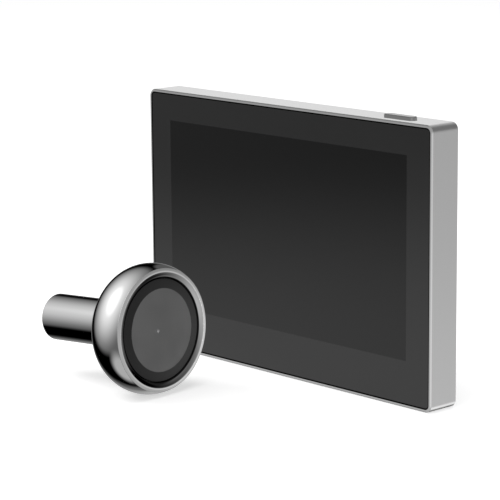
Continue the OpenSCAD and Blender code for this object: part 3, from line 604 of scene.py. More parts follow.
@dataclass(frozen=True)
class ChromePlate(Finish):
    """Chrome plate: a mirror with a faint long wave, duller on the tube, with painted shade in the window's
    bore.
    """

    colour: str = "#f2f2f2"
    shade: str = "#ececec"
    tube: str = "#cbcbcb"
    # Height along the axis below which the plate is the tube's
    tube_from_mm: float = -22.0
    roughness: Pair = (0.03, 0.06)
    # The plate's long wave
    grain_mm: float = field(default=9.0, kw_only=True)
    detail: float = field(default=WAVE_DETAIL, kw_only=True)
    # The wave's height in millimetres and its strength
    relief: Pair = (0.01, 0.2)
    # Radius and depth of the bore round the window, which gets painted shade, a dark matt colour in place of
    # the shade in its gap
    bore_r_mm: float = 23.3
    bore_depth_mm: float = 6.0
    bore_shade_colour: str = "#222222"

    def surface(self, tree: Tree, place: Socket) -> Socket:
        """Add the mirror, with painted shade in the bore.

        Args:
            tree: The material's node tree.
            place: Object coordinates.

        Returns:
            The shader's output.
        """
        wave = self.grain(tree, place)
        height, radius = AXIS.round(tree, place)
        # Painted shade: the bore's wall, the seat and the bevel's foot get a dark matt colour in place of the
        # shade in the gap round the window
        bore_shade = self.region(tree, Edge(radius, self.bore_r_mm, False), Edge(height, -self.bore_depth_mm))
        behind = self.region(tree, Edge(height, self.tube_from_mm, False))
        colour = self.layered(tree, self.shade, (wave, self.colour), (behind, self.tube))
        metal = self.grained(tree, wave, colour, self.roughness, self.relief, {"Metallic": 1.0})
        return self.cover_with_painted_shade(tree, metal, bore_shade, self.bore_shade_colour)


@dataclass(frozen=True)
class SmokedWindow(Finish):
    """Smoked acrylic, polished outside, with a black ring printed behind its edge and painted shade on its
    rim.
    """

    ink: str = "#1f1f1f"
    smoke: str = "#696969"
    haze: str = "#626262"
    grain_mm: float = field(default=14.0, kw_only=True)
    detail: float = field(default=HAZE_DETAIL, kw_only=True)
    gloss: Pair = (0.02, 0.035)
    ior: float = 1.49
    specular: float = 0.3
    # Radius inside the printed ring, and half the width over which the ring fades
    clear_r_mm: float = 18.2
    print_soft_mm: float = 0.12
    # How much of what lies behind the smoke it hides
    cover: float = 0.9
    # Radius beyond which the rim and side get painted shade, a matt black in place of the shade in the gap
    # round the window, and its fade
    shade_rim_r_mm: float = 22.38
    shade_rim_soft_mm: float = 0.02
    shade_paint: str = "#040404"

    def surface(self, tree: Tree, place: Socket) -> Socket:
        """Add the shader, see-through inside the printed ring, with painted shade on the rim.

        Args:
            tree: The material's node tree.
            place: Object coordinates.

        Returns:
            The shader's output.
        """
        radius = AXIS.round(tree, place)[1]
        ring = self.region(tree, Edge(radius, self.clear_r_mm, soft_mm=self.print_soft_mm))
        haze = self.grain(tree, place)
        share = add_node(tree, "MapRange", {"Value": haze, **GRAIN_RANGE}).outputs["Result"]
        colour = self.layered(tree, self.smoke, (share, self.haze), (ring, self.ink))
        cover = add_node(tree, "MapRange", {"Value": ring, "To Min": self.cover}).outputs["Result"]
        inputs = {"IOR": self.ior, "Specular IOR Level": self.specular, "Alpha": cover}
        acrylic = self.grained(tree, haze, colour, self.gloss, inputs=inputs)
        # Painted shade: matt black on the rim and side stands in for the shade in the gap round the window
        rim = self.region(tree, Edge(radius, self.shade_rim_r_mm, soft_mm=self.shade_rim_soft_mm))
        return self.cover_with_painted_shade(tree, acrylic, rim, self.shade_paint)


@dataclass(frozen=True)
class BoardLaminate(Finish):
    """Glass-epoxy laminate under green solder mask, with copper tracks that show as paler green lines."""

    mask: str = "#0f4a2b"
    track: str = "#1d6a3f"
    # Size of the tracks' cells, and the share of a cell that a track takes
    cell_mm: float = 5.2
    track_share: float = 0.06
    # The tracks' height in millimetres and its strength
    relief: Pair = (0.03, 0.6)
    # The glass weave under the mask, which varies its gloss
    grain_mm: float = field(default=0.5, kw_only=True)
    gloss: Pair = (0.28, 0.4)
    ior: float = 1.5

    def surface(self, tree: Tree, place: Socket) -> Socket:
        """Add the shader, with cells of tracks over the weave.

        Args:
            tree: The material's node tree.
            place: Object coordinates.

        Returns:
            The shader's output.
        """
        tracks = add_node(
            tree,
            "TexBrick",
            {"Vector": place, "Scale": per_metre(self.cell_mm), "Mortar Size": self.track_share},
        ).outputs["Fac"]
        low, high = self.gloss
        gloss = add_node(
            tree,
            "MapRange",
            {"Value": self.grain(tree, place), **GRAIN_RANGE, "To Min": low, "To Max": high},
        ).outputs["Result"]
        return self.grained(tree, tracks, (self.mask, self.track), gloss, self.relief, {"IOR": self.ior})


@dataclass(frozen=True)
class LensGlass(Finish):
    """Optical glass with a thin anti-reflection coating that gives a violet tinge."""

    tint: str = "#dfe4ee"
    # A very fine mist in the coating, which varies its gloss
    mist: str = "#cfd6e6"
    grain_mm: float = field(default=2.0, kw_only=True)
    gloss: Pair = (0.0, 0.03)
    ior: float = 1.6
    clearness: float = 0.9
    film_nm: float = 420.0
    film_ior: float = 1.38

    def surface(self, tree: Tree, place: Socket) -> Socket:
        """Add the coated glass.

        Args:
            tree: The material's node tree.
            place: Object coordinates.

        Returns:
            The shader's output.
        """
        inputs = {
            "IOR": self.ior,
            "Transmission Weight": self.clearness,
            "Thin Film Thickness": self.film_nm,
            "Thin Film IOR": self.film_ior,
        }
        mist = self.grain(tree, place)
        return self.grained(tree, mist, (self.mist, self.tint), self.gloss, inputs=inputs)


@dataclass(frozen=True)
class TurnedMetal(Finish):
    """Bar metal turned on a lathe, with tool rings across its axis."""

    colour: str = "#c79a45"
    shade: str = "#b98d3c"
    gloss: Pair = (0.22, 0.34)
    # Size of the wave texture, of which about three rings fill one
    wave_mm: float = 5.0
    wander: float = 0.3
    # The rings' height in millimetres and its strength
    relief: Pair = (0.01, 0.5)

    def surface(self, tree: Tree, place: Socket) -> Socket:
        """Add the metal, with its rings along the camera's axis.

        Args:
            tree: The material's node tree.
            place: Object coordinates.

        Returns:
            The shader's output.
        """
        rings = add_node(
            tree,
            "TexWave",
            {"Vector": AXIS.local(tree, place), "Scale": per_metre(self.wave_mm), "Distortion": self.wander},
        ).outputs["Fac"]
        low, high = self.gloss
        gloss = add_node(tree, "MapRange", {"Value": rings, "To Min": low, "To Max": high})
        return self.grained(
            tree, rings, (self.shade, self.colour), gloss.outputs["Result"], self.relief, {"Metallic": 1.0}
        )


FINISHES: dict[Slot, Finish] = {
    # Satin all over, with a bright cut edge round the glass
    Slot.FRAME_METAL: SatinAluminium("satin_anodised_aluminium"),
    # Satin like the frame, but darker all over
    Slot.BUTTON_METAL: SatinAluminium("dark_satin_aluminium", "#a8a8a8", "#9f9f9f", bright_from_mm=-50.0),
    # Near black, with a paler border and a soft reflection of the room
    Slot.SCREEN_GLASS: PrintedGlass("ink_printed_cover_glass"),
    # Soft black foam that drinks the light
    Slot.BLACK_TAPE: Moulded("black_foam_tape", "#0f0f10", "#0a0a0b", roughness=(0.8, 0.95), grain_mm=0.3),
    # Almost black and smooth, with a faint sheen
    Slot.PANEL_GLASS: Moulded("polarising_film", "#0c0d0f", "#0a0b0c", roughness=(0.12, 0.2), grain_mm=1.5),
    # Mill lines, neither bright nor dull
    Slot.PRESSED_METAL: BrushedSheet("pressed_aluminium_sheet", "#c9cacb", "#b4b5b7"),
    # Small bright heads with soft highlights
    Slot.SCREW_STEEL: Moulded(
        "nickel_plated_steel", "#b9babb", "#a8a9aa", metallic=1.0, roughness=(0.22, 0.32), grain_mm=0.6
    ),
    # Dark heads with a dull metal gleam
    Slot.BLACK_SCREW: Moulded(
        "black_oxide_steel", "#2b2b2d", "#202022", metallic=1.0, roughness=(0.35, 0.5), grain_mm=0.3
    ),
    # Glossy green with paler raised lines
    Slot.CIRCUIT_BOARD: BoardLaminate("green_mask_laminate"),
    # Paler and brighter than the aluminium sheet
    Slot.SHIELD_METAL: BrushedSheet("tinned_steel_sheet", "#d2d3d4", "#c2c3c5", roughness=(0.25, 0.38)),
    # Flat black with a sandy grain
    Slot.CHIP_RESIN: Moulded("moulded_epoxy", "#1b1b1d", "#151516", roughness=(0.55, 0.7), grain_mm=0.15),
    # Warm cream with a low sheen
    Slot.SOCKET_PLASTIC: Moulded("ivory_nylon", "#d8cfb4", "#cfc6aa", roughness=(0.4, 0.55), grain_mm=0.5),
    # Clean white with a low sheen
    Slot.WHITE_PLASTIC: Moulded("white_acetal", "#e9e9e6", "#dfdfdb", roughness=(0.35, 0.5), grain_mm=0.5),
    # Crinkled silver over a soft cell
    Slot.BATTERY_POUCH: Moulded(
        "aluminium_pouch_laminate",
        "#b9bcc0",
        "#a5a8ad",
        metallic=0.8,
        roughness=(0.3, 0.5),
        grain_mm=3.0,
        bump_mm=0.15,
    ),
    # Plain dark moulding with a blurred sheen
    Slot.BLACK_PLASTIC: Moulded("black_abs", "#19191a", "#131314", roughness=(0.45, 0.6), grain_mm=0.25),
    # Dull black with no highlight
    Slot.BLACK_RUBBER: Moulded("black_silicone", "#141415", "#0f0f10", roughness=(0.7, 0.85), grain_mm=0.4),
    # Spark-eroded mould grain: small dull dimples
    Slot.COVER_PLASTIC: Moulded(
        "grained_dark_abs", "#3a3b3d", "#323335", roughness=(0.5, 0.66), grain_mm=0.45, bump_mm=0.03
    ),
    # A mirror that bends the studio's lights round the head
    Slot.CHROME: ChromePlate("bright_chrome_plate"),
    # Dark grey gloss with the lens just showing through
    Slot.SMOKED_WINDOW: SmokedWindow("smoked_acrylic"),
    # Clear, with a coloured glint
    Slot.LENS_GLASS: LensGlass("coated_optical_glass"),
    # Almost black drops with a sharp glint
    Slot.LAMP_RESIN: Moulded("dark_clear_epoxy", "#1c1420", "#150f19", roughness=(0.08, 0.14), grain_mm=1.0),
    # Yellow metal with bright rings
    Slot.BRASS: TurnedMetal("turned_brass"),
}


@dataclass
class Finishes:
    """The finishes as materials, each built once."""

    made: dict[Slot, bpy.types.Material] = field(default_factory=dict)

    def get(self, slot: Slot) -> bpy.types.Material:
        """Give a slot's material.

        Args:
            slot: The slot.

        Returns:
            Its material, built at the first call.
        """
        if slot not in self.made:
            self.made[slot] = FINISHES[slot].build()
        return self.made[slot]

    def dress(self, nodes: dict[str, Object], record: dict) -> None:
        """Put each CAD node in its slot's finish.

        Args:
            nodes: The CAD nodes by name.
            record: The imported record, which names each node's slot.
        """
        for part in record["subparts"]:
            mesh = nodes[part["node"]].data
            mesh.materials.clear()
            mesh.materials.append(self.get(Slot(part["material_slot"])))


@dataclass
class Lathe:
    """Turns profiles about the camera's axis into closed pieces."""

    finishes: Finishes
    steps: int = 192
    # Faces across a rounding, and the bevel's profile that makes it round
    corner_steps: int = 4
    corner_profile: float = 0.5
    # Points closer than this become one
    weld_mm: float = 1e-5
    # Edges with a larger turn than this stay sharp
    sharp_deg: float = 35.0

    def turn(
        self,
        name: str,
        slot: Slot,
        node: str,
        points: list[Pair],
        arcs: dict[int, tuple[Pair, int]] | None = None,
        rounds: dict[int, float] | None = None,
        closed: bool = True,
    ) -> Object:
        """Spin one profile into a piece that replaces a CAD node.

        Args:
            name: The piece's name.
            slot: Its material slot.
            node: The CAD node that it stands for.
            points: The profile, as radius and height along the axis, in millimetres.
            arcs: For a point's index, the centre and steps of the arc from it to the next point.
            rounds: For a point's index, the radius of its rounding.
            closed: Whether the last point joins the first; an open profile starts and ends on the axis.

        Returns:
            The piece.
        """
        bm = bmesh.new()
        corners = [bm.verts.new((h, r, 0)) for r, h in points]
        count = len(points)
        for i in range(count if closed else count - 1):
            start, end = corners[i], corners[(i + 1) % count]
            if i in (arcs or {}):
                (cr, ch), steps = arcs[i]
                middle = Vector((ch, cr, 0))
                first, last = start.co - middle, end.co - middle
                sweep = first.angle(last) * (1 if first.cross(last).z > 0 else -1)
                spun = bmesh.ops.spin(
                    bm, geom=[start], cent=middle, axis=(0, 0, 1), angle=sweep, steps=steps
                )
                bmesh.ops.weld_verts(bm, targetmap={spun["geom_last"][0]: end})
            else:
                bm.edges.new((start, end))
        for i, radius in (rounds or {}).items():
            bmesh.ops.bevel(
                bm,
                geom=[corners[i]],
                offset=radius,
                offset_type="OFFSET",
                affect="VERTICES",
                segments=self.corner_steps,
                profile=self.corner_profile,
                material=-1,
            )
        bmesh.ops.spin(
            bm,
            geom=bm.verts[:] + bm.edges[:],
            cent=(0, 0, 0),
            axis=(1, 0, 0),
            angle=math.tau,
            steps=self.steps,
            use_merge=True,
        )
        bmesh.ops.remove_doubles(bm, verts=bm.verts[:], dist=self.weld_mm)
        bmesh.ops.recalc_face_normals(bm, faces=bm.faces[:])
        bmesh.ops.transform(bm, matrix=AXIS.matrix(), verts=bm.verts[:])
        mesh = finished_mesh(bm, name)
        mesh.shade_smooth()
        mesh.set_sharp_from_angle(angle=math.radians(self.sharp_deg))
        mesh.materials.append(self.finishes.get(slot))
        piece = put(name, mesh)
        piece.modifiers.new("flat_faces", "WEIGHTED_NORMAL").keep_sharp = True
        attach(piece, "camera_unit")
        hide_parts(node)
        LOG.info("%s: %d faces", name, len(mesh.polygons))
        return piece


@dataclass
class DoorUnit:
    """The outdoor camera's plated pieces and its window, in millimetres."""

    lathe: Lathe
    head_r: float = 28.7
    head_round: float = 16.8
    head_wall: float = 2.2
    # Steps of the head's outer and inner curve
    head_steps: tuple[int, int] = (56, 32)
    # Radius of the flat back, the rounding of its edge, and the hole for the back plate
    back_r: float = 21.3
    back_round: float = 0.5
    plate_bore_r: float = 18.6
    bezel_r: float = 26.99
    bezel_bore_r: float = 23.122
    # Width and depth of the polished bevel, half the turn of its bow in degrees, and the bow's steps
    bevel: Pair = (2.2, 0.8)
    bevel_bow: float = 8.0
    bevel_steps: int = 12
    crest_w: float = 0.3
    slope_d: float = 0.2
    # Roundings of the crest's inner and outer edge and of the slope's foot
    bezel_rounds: Triple = (0.1, 0.2, 0.06)
    # Drop of the seam between head and bezel
    shell_front: float = 0.7
    # Drop at which the head's curve reaches the bezel, and the gap between them
    head_front: float = 0.33
    bezel_gap: float = 0.004
    spigot_r: float = 25.122
    spigot_gap: float = 0.06
    # Radius of the window's seat and the drops of its top and foot
    seat: Triple = (20.4, 3.5, 5.0)
    window_r: float = 22.45
    window_drop: float = 1.1
    window_t: float = 1.8
    window_dome_r: float = 170.0
    window_round: float = 0.15
    # Steps of the window's outer and inner dome, and how far the inner one stays clear of the seat
    window_steps: tuple[int, int] = (24, 20)
    dome_inset: float = 0.1
    tube_r: float = 10.4
    tube_bore_r: float = 8.8
    tube_reach: float = 66.4
    # Chamfer of the tube's end, and the roundings of the chamfer's two edges and of the bore's
    tube_chamfer: float = 0.5
    tube_rounds: Triple = (0.15, 0.15, 0.1)
    # Length of the collar inside the head, the step down to it, and the height of the lip in its bore
    collar: Triple = (4.0, 0.6, 0.7)

    def build(self) -> list[Object]:
        """Build the unit's turned pieces."""
        return [self.head(), self.bezel(), self.window(), self.tube()]

    def belly_r(self) -> float:
        """Give the radius of the ring on which the centre of the head's round section lies."""
        return self.head_r - self.head_round

    def side(self, section: float, drop: float) -> float:
        """Give the radius at which a round section of the head comes to a drop."""
        return self.belly_r() + math.sqrt(section**2 - (AXIS.belly_drop - drop) ** 2)

    def back(self, section: float, radius: float) -> float:
        """Give the height at which a round section of the head comes to a radius, behind the belly."""
        return -AXIS.belly_drop - math.sqrt(section**2 - (radius - self.belly_r()) ** 2)

    def head(self) -> Object:
        """Turn the hollow round head.

        Returns:
            The piece.
        """
        centre = (self.belly_r(), -AXIS.belly_drop)
        inner = self.head_round - self.head_wall
        seat_r, seat_top, seat_foot = self.seat
        rim = self.spigot_r + self.spigot_gap
        points = [
            (self.side(self.head_round, self.head_front), -self.head_front),
            (self.back_r, self.back(self.head_round, self.back_r)),
            (self.plate_bore_r, self.back(self.head_round, self.back_r)),
            (self.plate_bore_r, self.back(inner, self.plate_bore_r)),
            (self.side(inner, seat_foot), -seat_foot),
            (seat_r, -seat_foot),
            (seat_r, -seat_top),
            (rim, -seat_top),
            (rim, -self.shell_front),
            (self.bezel_r + self.bezel_gap, -self.shell_front),
        ]
        outside, inside = self.head_steps
        arcs = {0: (centre, outside), 3: (centre, inside)}
        return self.lathe.turn("head", Slot.CHROME, "head_shell", points, arcs, {1: self.back_round})

    def bezel(self) -> Object:
        """Turn the ring with its bowed inner bevel, crest and outer slope.

        Returns:
            The piece.
        """
        width, depth = self.bevel
        foot = -self.seat[1]
        # Distance from the bevel to the centre of its bow, over the bevel's length
        reach = 0.5 / math.tan(math.radians(self.bevel_bow))
        middle = (self.bezel_bore_r + width / 2 + depth * reach, -depth / 2 - width * reach)
        points = [
            (self.bezel_bore_r, -depth),
            (self.bezel_bore_r + width, 0.0),
            (self.bezel_bore_r + width + self.crest_w, 0.0),
            (self.bezel_r, -self.slope_d),
            (self.bezel_r, -self.shell_front),
            (self.spigot_r, -self.shell_front),
            (self.spigot_r, foot),
            (self.bezel_bore_r, foot),
        ]
        arcs = {0: (middle, self.bevel_steps)}
        rounds = dict(zip((1, 2, 3), self.bezel_rounds))
        return self.lathe.turn("bezel", Slot.CHROME, "bezel_ring", points, arcs, rounds)

    def window(self) -> Object:
        """Turn the domed window.

        Returns:
            The piece.
        """
        under = self.window_drop + self.window_t
        middle = (0.0, -self.window_drop - math.sqrt(self.window_dome_r**2 - self.window_r**2))
        apex = middle[1] + self.window_dome_r
        clear_r = self.seat[0] - self.dome_inset
        inner_r = self.window_dome_r - self.window_t
        clear_h = middle[1] + math.sqrt(inner_r**2 - clear_r**2)
        points = [
            (0.0, apex),
            (self.window_r, -self.window_drop),
            (self.window_r, -under),
            (clear_r, -under),
            (clear_r, clear_h),
            (0.0, apex - self.window_t),
        ]
        outside, inside = self.window_steps
        arcs = {0: (middle, outside), 4: (middle, inside)}
        rounds = {1: self.window_round}
        return self.lathe.turn("window_pane", Slot.SMOKED_WINDOW, "window", points, arcs, rounds, False)

    def tube(self) -> Object:
        """Turn the tube that goes through the door.

        Returns:
            The piece.
        """
        back = self.back(self.head_round, self.back_r)
        length, step, lip = self.collar
        points = [
            (self.tube_bore_r - lip, back + length),
            (self.tube_r - step, back + length),
            (self.tube_r - step, back),
            (self.tube_r, back),
            (self.tube_r, -self.tube_reach + self.tube_chamfer),
            (self.tube_r - self.tube_chamfer, -self.tube_reach),
            (self.tube_bore_r, -self.tube_reach),
            (self.tube_bore_r, back),
            (self.tube_bore_r - lip, back),
        ]
        rounds = dict(zip((4, 5, 6), self.tube_rounds))
        return self.lathe.turn("tube_shaft", Slot.CHROME, "tube", points, rounds=rounds)


@dataclass(frozen=True)
class Glow:
    """A soft elliptical patch of light, or of shade, on the studio's tent."""

    azimuth: float
    elevation: float
    width: float
    height: float
    roll: float
    softness: float
    level: float

    def add(self, tree: Tree, ray: Socket, under: Socket | float) -> Socket:
        """Lay the patch over what is there.

        Args:
            tree: The tent's node tree.
            ray: The direction seen from the middle of the tent.
            under: The light below the patch.

        Returns:
            The light with the patch.
        """
        centre = direction(self.azimuth, self.elevation)
        across = Vector((math.cos(math.radians(self.azimuth)), math.sin(math.radians(self.azimuth)), 0))
        up = centre.cross(across)
        roll = math.radians(self.roll)
        x = math.cos(roll) * across + math.sin(roll) * up
        y = math.cos(roll) * up - math.sin(roll) * across
        local = add_node(
            tree,
            "Mapping",
            {
                "Vector": ray,
                "Location": centre,
                "Rotation": Matrix((x, y, x.cross(y))).transposed().to_euler("XYZ"),
                "Scale": (self.width, self.height, 1.0),
            },
            vector_type="TEXTURE",
        ).outputs["Vector"]
        reach = add_node(tree, "VectorMath", {0: local}, operation="LENGTH").outputs["Value"]
        share = add_node(
            tree,
            "MapRange",
            {"Value": reach, "From Min": 1.0, "From Max": 1 - self.softness, "To Min": 0.0, "To Max": 1.0},
            interpolation_type="SMOOTHSTEP",
        ).outputs["Result"]
        mixed = add_node(tree, "Mix", {"Factor": share, "A": under, "B": self.level})
        return mixed.outputs["Result"]


@dataclass(frozen=True)
class Tent:
    """A sphere of lit cloth that only some pieces reflect."""

    name: str
    radius: float
    level: float
    glows: tuple[Glow, ...]
    # Whether the other pieces see through the cloth to what hangs behind it
    sheer: bool = False
    # Faces round the sphere and from pole to pole
    faces: tuple[int, int] = (64, 32)

    def hang(self, only: list[Object]) -> None:
        """Hang the tent, with its soft patches of light.

        Args:
            only: The pieces that reflect it.
        """
        bm = bmesh.new()
        around, upward = self.faces
        bmesh.ops.create_uvsphere(bm, u_segments=around, v_segments=upward, radius=self.radius)
        bmesh.ops.reverse_faces(bm, faces=bm.faces[:])
        mesh = finished_mesh(bm, self.name)
        material = bpy.data.materials.new(self.name + "_cloth")
        tree = bare_tree(material)
        material.cycles.emission_sampling = "NONE"
        place = add_node(tree, "TexCoord").outputs["Object"]
        ray = add_node(tree, "VectorMath", {0: place}, operation="NORMALIZE").outputs["Vector"]
        light: Socket | float = self.level
        for glow in self.glows:
            light = glow.add(tree, ray, light)
        cloth = add_node(tree, "Emission", {"Color": WHITE, "Strength": light}).outputs["Emission"]
        if self.sheer:
            clear = add_node(tree, "BsdfTransparent").outputs["BSDF"]
            cloth = add_node(tree, "AddShader", {0: cloth, 1: clear}).outputs["Shader"]
        add_node(tree, "OutputMaterial", {"Surface": cloth})
        mesh.materials.append(material)
        obj = put(self.name, mesh)
        obj.visible_camera = obj.visible_diffuse = obj.visible_transmission = obj.visible_shadow = False
        show_only(obj, only)


@dataclass(frozen=True)
class Lamp:
    """A soft square lamp that no reflection shows, in degrees, metres and watts."""

    name: str
    azimuth: float
    elevation: float
    distance: float
    size: float
    power: float

    def hang(self, target: Triple) -> None:
        """Hang the lamp so that it faces a point.

        Args:
            target: The point.
        """
        data = bpy.data.lights.new(self.name, "AREA")
        data.size = self.size
        data.energy = self.power
        obj = put(self.name, data)
        ray = direction(self.azimuth, self.elevation)
        obj.location = Vector(target) + ray * self.distance
        obj.rotation_euler = (-ray).to_track_quat("-Z", "Y").to_euler()
        obj.visible_camera = obj.visible_glossy = False


@dataclass
class Studio:
    """Camera, sky, floor, tents, lamps and lit tables, in metres."""

    lens_mm: float = 164.71
    sensor_mm: float = 36.0
    clip: Pair = (0.01, 50.0)
    place: Triple = (0.72104, -0.69176, 0.25507)
    right: Triple = (0.67867, 0.7344, -0.00863)
    up: Triple = (-0.13725, 0.13834, 0.98079)
    camera_tent: Tent = Tent(
        "camera_tent",
        2.4,
        0.128,
        (
            # Large softbox high on the left, with its hot middle
            Glow(-40.3, 38.0, 1.15, 1.28, 44.2, 0.96, 1.11),
            Glow(-37.9, 40.5, 0.36, 0.43, 38.9, 0.35, 1.2),
            # Dark flags low on the left and behind
            Glow(-90.5, -48.4, 0.72, 2.0, 45.6, 0.27, 0.0),
            Glow(-151.5, 11.5, 0.69, 2.0, 45.0, 0.3, 0.0),
            # Glow of the table below the front
            Glow(-2.2, -57.2, 0.5, 0.61, -0.7, 0.54, 0.46),
            # Glow of the table behind, and a dim gap and a wall above it
            Glow(-169.6, -26.5, 1.25, 1.0, -23.1, 0.56, 0.45),
            Glow(-151.1, -67.3, 0.67, 0.17, -3.9, 0.79, 0.14),
            Glow(-155.6, 17.8, 0.36, 0.53, -0.5, 0.2, 0.1),
            # Lit window in the dark wall on the right, and its glow on the table
            Glow(143.9, -28.6, 1.54, 0.39, -9.6, 0.81, 0.01),
            Glow(161.5, 7.7, 1.04, 0.48, -12.7, 0.81, 0.0),
            Glow(-176.1, -39.8, 0.32, 1.13, -0.5, 0.72, 0.01),
            Glow(138.5, -8.7, 0.45, 0.31, -15.3, 0.52, 0.86),
            Glow(128.8, -5.1, 0.49, 0.34, 7.8, 1.0, 0.3),
            Glow(100.7, -19.0, 0.89, 0.71, -6.4, 1.0, 0.49),
            # Small bare lamp, the catchlight in the middle of the window
            Glow(135.79, -8.05, 0.011, 0.011, 0.0, 0.8, 7.0),
        ),
        sheer=True,
    )
    monitor_tent: Tent = Tent(
        "monitor_tent",
        2.5,
        0.45,
        (
            # Dark under the monitor, and the softbox behind and above, which the top shows
            Glow(-150.0, -36.0, 0.6, 0.5, 0.0, 0.35, 0.0),
            Glow(-133.6, 16.0, 0.75, 0.6, 0.0, 0.6, 1.02),
            # Dimmer cloth over the front
            Glow(-74.0, 50.0, 0.6, 0.6, 0.0, 0.8, 0.3),
            # Wall on the right, under a dim ceiling
            Glow(133.6, -20.0, 0.7, 0.7, 0.0, 0.5, 0.55),
            Glow(148.0, 32.0, 0.65, 0.5, 0.0, 0.45, 0.2),
            # Window light from the right of the camera
            Glow(43.6, -11.5, 0.45, 0.6, 0.0, 0.8, 0.8),
            # Bright table behind
            Glow(152.0, -44.0, 0.4, 0.3, 0.0, 0.6, 1.3),
        ),
    )
    lamps: tuple[Lamp, ...] = (
        Lamp("key", -50.0, 43.0, 1.6, 1.0, 10.0),
        Lamp("top", 20.0, 75.0, 1.5, 1.2, 7.0),
        Lamp("fill", 95.0, 20.0, 1.6, 1.0, 4.0),
    )
    lamp_target: Triple = (0.0, 0.0, 0.06)
    # Level of the sky as light and as a thing to look at
    sky_light: float = 0.5
    sky_seen: float = 1.0
    # Half the floor's side, its cells, and how far it lies below the object's foot
    floor_half: float = 5.0
    floor_cells: int = 8
    floor_drop: float = 0.0002
    paper: str = "#f2f2f2"
    paper_roughness: float = 0.9
    # Glow that lifts the paper to white in the picture
    paper_glow: float = 0.5
    # How far a lit table reaches from the monitor's foot, and its height above the floor
    table_reach: float = 0.65
    table_lift: float = 0.0005
    # Shares of the table's side at which its light has gone and is full
    table_fade: Pair = (0.5, 0.04)
    # Brightness of the table in the glass and in the metal, where white is 1
    glass_table: float = 1.0
    metal_table: float = 0.13

    def camera(self) -> None:
        """Set the camera where the photograph was taken from."""
        data = bpy.data.cameras.new("camera")
        data.lens = self.lens_mm
        data.sensor_width = self.sensor_mm
        data.clip_start, data.clip_end = self.clip
        obj = put("camera", data)
        right, up = Vector(self.right).normalized(), Vector(self.up)
        back = right.cross(up).normalized()
        turn = Matrix((right, back.cross(right), back)).transposed().to_4x4()
        obj.matrix_world = Matrix.Translation(Vector(self.place)) @ turn
        bpy.context.scene.camera = obj

    def world(self) -> None:
        """Set the sky: white to look at, and a plain level as light."""
        world = bpy.data.worlds.new("studio")
        tree = bare_tree(world)
        path = add_node(tree, "LightPath").outputs
        seen = path["Is Camera Ray"]
        for name in ("Is Glossy Ray", "Is Transmission Ray"):
            either = add_node(tree, "Math", {0: seen, 1: path[name]}, operation="MAXIMUM")
            seen = either.outputs["Value"]
        level = add_node(tree, "Mix", {"Factor": seen, "A": self.sky_light, "B": self.sky_seen})
        sky = add_node(tree, "Background", {"Color": WHITE, "Strength": level.outputs["Result"]})
        add_node(tree, "OutputWorld", {"Surface": sky.outputs["Background"]})
        bpy.context.scene.world = world

    def floor(self) -> None:
        """Lay the pale table, white to look at but for the object's shadow."""
        bm = bmesh.new()
        bmesh.ops.create_grid(
            bm, x_segments=self.floor_cells, y_segments=self.floor_cells, size=self.floor_half
        )
        bmesh.ops.translate(bm, vec=(0, 0, -self.floor_drop), verts=bm.verts[:])
        mesh = finished_mesh(bm, "table")
        material = bpy.data.materials.new("white_paper_sweep")
        tree = bare_tree(material)
        seen = add_node(tree, "LightPath").outputs["Is Camera Ray"]
        glow = add_node(tree, "Math", {0: seen, 1: self.paper_glow}, operation="MULTIPLY")
        paper = add_node(
            tree,
            "BsdfPrincipled",
            {
                "Base Color": linear(self.paper),
                "Roughness": self.paper_roughness,
                "Emission Color": WHITE,
                "Emission Strength": glow.outputs["Value"],
            },
        )
        add_node(tree, "OutputMaterial", {"Surface": paper.outputs["BSDF"]})
        mesh.materials.append(material)
        obj = put("table", mesh)
        obj.visible_glossy = False

    def table(self, name: str, level: float, only: list[Object]) -> None:
        """Lay a lit table round the monitor, which fades away from its foot.

        Args:
            name: The light's name.
            level: Its brightness at the foot, where white is 1.
            only: The pieces that show it.
        """
        size = 2 * self.table_reach
        data = bpy.data.lights.new(name, "AREA")
        data.size = size
        data.energy = math.pi * size**2
        data.use_shadow = False
        tree = bare_tree(data)
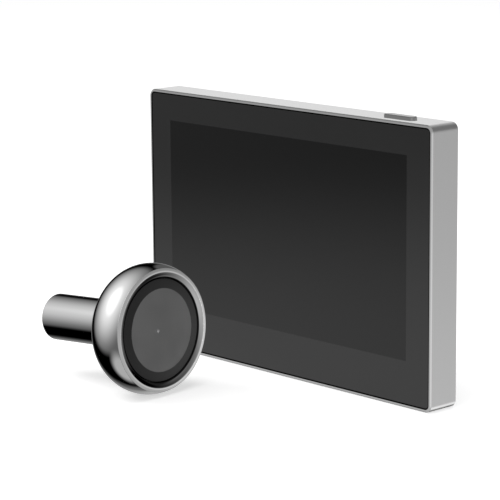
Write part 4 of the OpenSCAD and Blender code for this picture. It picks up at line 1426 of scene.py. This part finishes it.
        # The lamp's own coordinates run from 0 to 1 across it
        spot = add_node(tree, "NewGeometry").outputs["Parametric"]
        for operation, value in (("SUBTRACT", (0.5, 0.5, 0.0)), ("MULTIPLY", (1.0, 1.0, 0.0))):
            spot = add_node(tree, "VectorMath", {0: spot, 1: value}, operation=operation).outputs["Vector"]
        reach = add_node(tree, "VectorMath", {0: spot}, operation="LENGTH").outputs["Value"]
        gone, full = self.table_fade
        light = add_node(
            tree,
            "MapRange",
            {"Value": reach, "From Min": gone, "From Max": full, "To Min": 0.0, "To Max": level},
            interpolation_type="SMOOTHSTEP",
        ).outputs["Result"]
        glow = add_node(tree, "Emission", {"Strength": light})
        add_node(tree, "OutputLight", {"Surface": glow.outputs["Emission"]})
        obj = put(name, data)
        obj.location = (0.0, 0.0, self.table_lift)
        obj.rotation_euler = (math.pi, 0.0, 0.0)
        obj.visible_camera = False
        show_only(obj, only)

    def light(self, nodes: dict[str, Object], outdoor: list[Object], indoor: list[Object]) -> None:
        """Hang the tents and lamps and lay the lit tables.

        Args:
            nodes: The CAD nodes by name.
            outdoor: The outdoor camera's pieces.
            indoor: The monitor's pieces.
        """
        self.camera_tent.hang(outdoor)
        self.monitor_tent.hang(indoor)
        for lamp in self.lamps:
            lamp.hang(self.lamp_target)
        self.table("table_in_glass", self.glass_table, [nodes["cover_glass"]])
        self.table("table_in_metal", self.metal_table, [nodes["frame"], nodes["power_button"]])


def main() -> None:
    """Build the scene."""
    logging.basicConfig(level=logging.INFO)
    bpy.ops.wm.read_factory_settings(use_empty=True)
    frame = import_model()
    bpy.context.scene.view_settings.view_transform = "Standard"
    nodes = frame["nodes"]
    finishes = Finishes()
    finishes.dress(nodes, frame["record"])
    outdoor = [nodes[name] for name in frame["record"]["behaviour"]["bodies"]["camera_unit"]]
    indoor = [node for node in nodes.values() if node not in outdoor]
    outdoor += DoorUnit(Lathe(finishes)).build()
    # Reflections show the tents alone
    for obj in [*indoor, *outdoor]:
        obj.visible_glossy = False
    studio = Studio()
    studio.camera()
    studio.world()
    studio.floor()
    studio.light(nodes, outdoor, indoor)


if __name__ == "__main__":
    main()
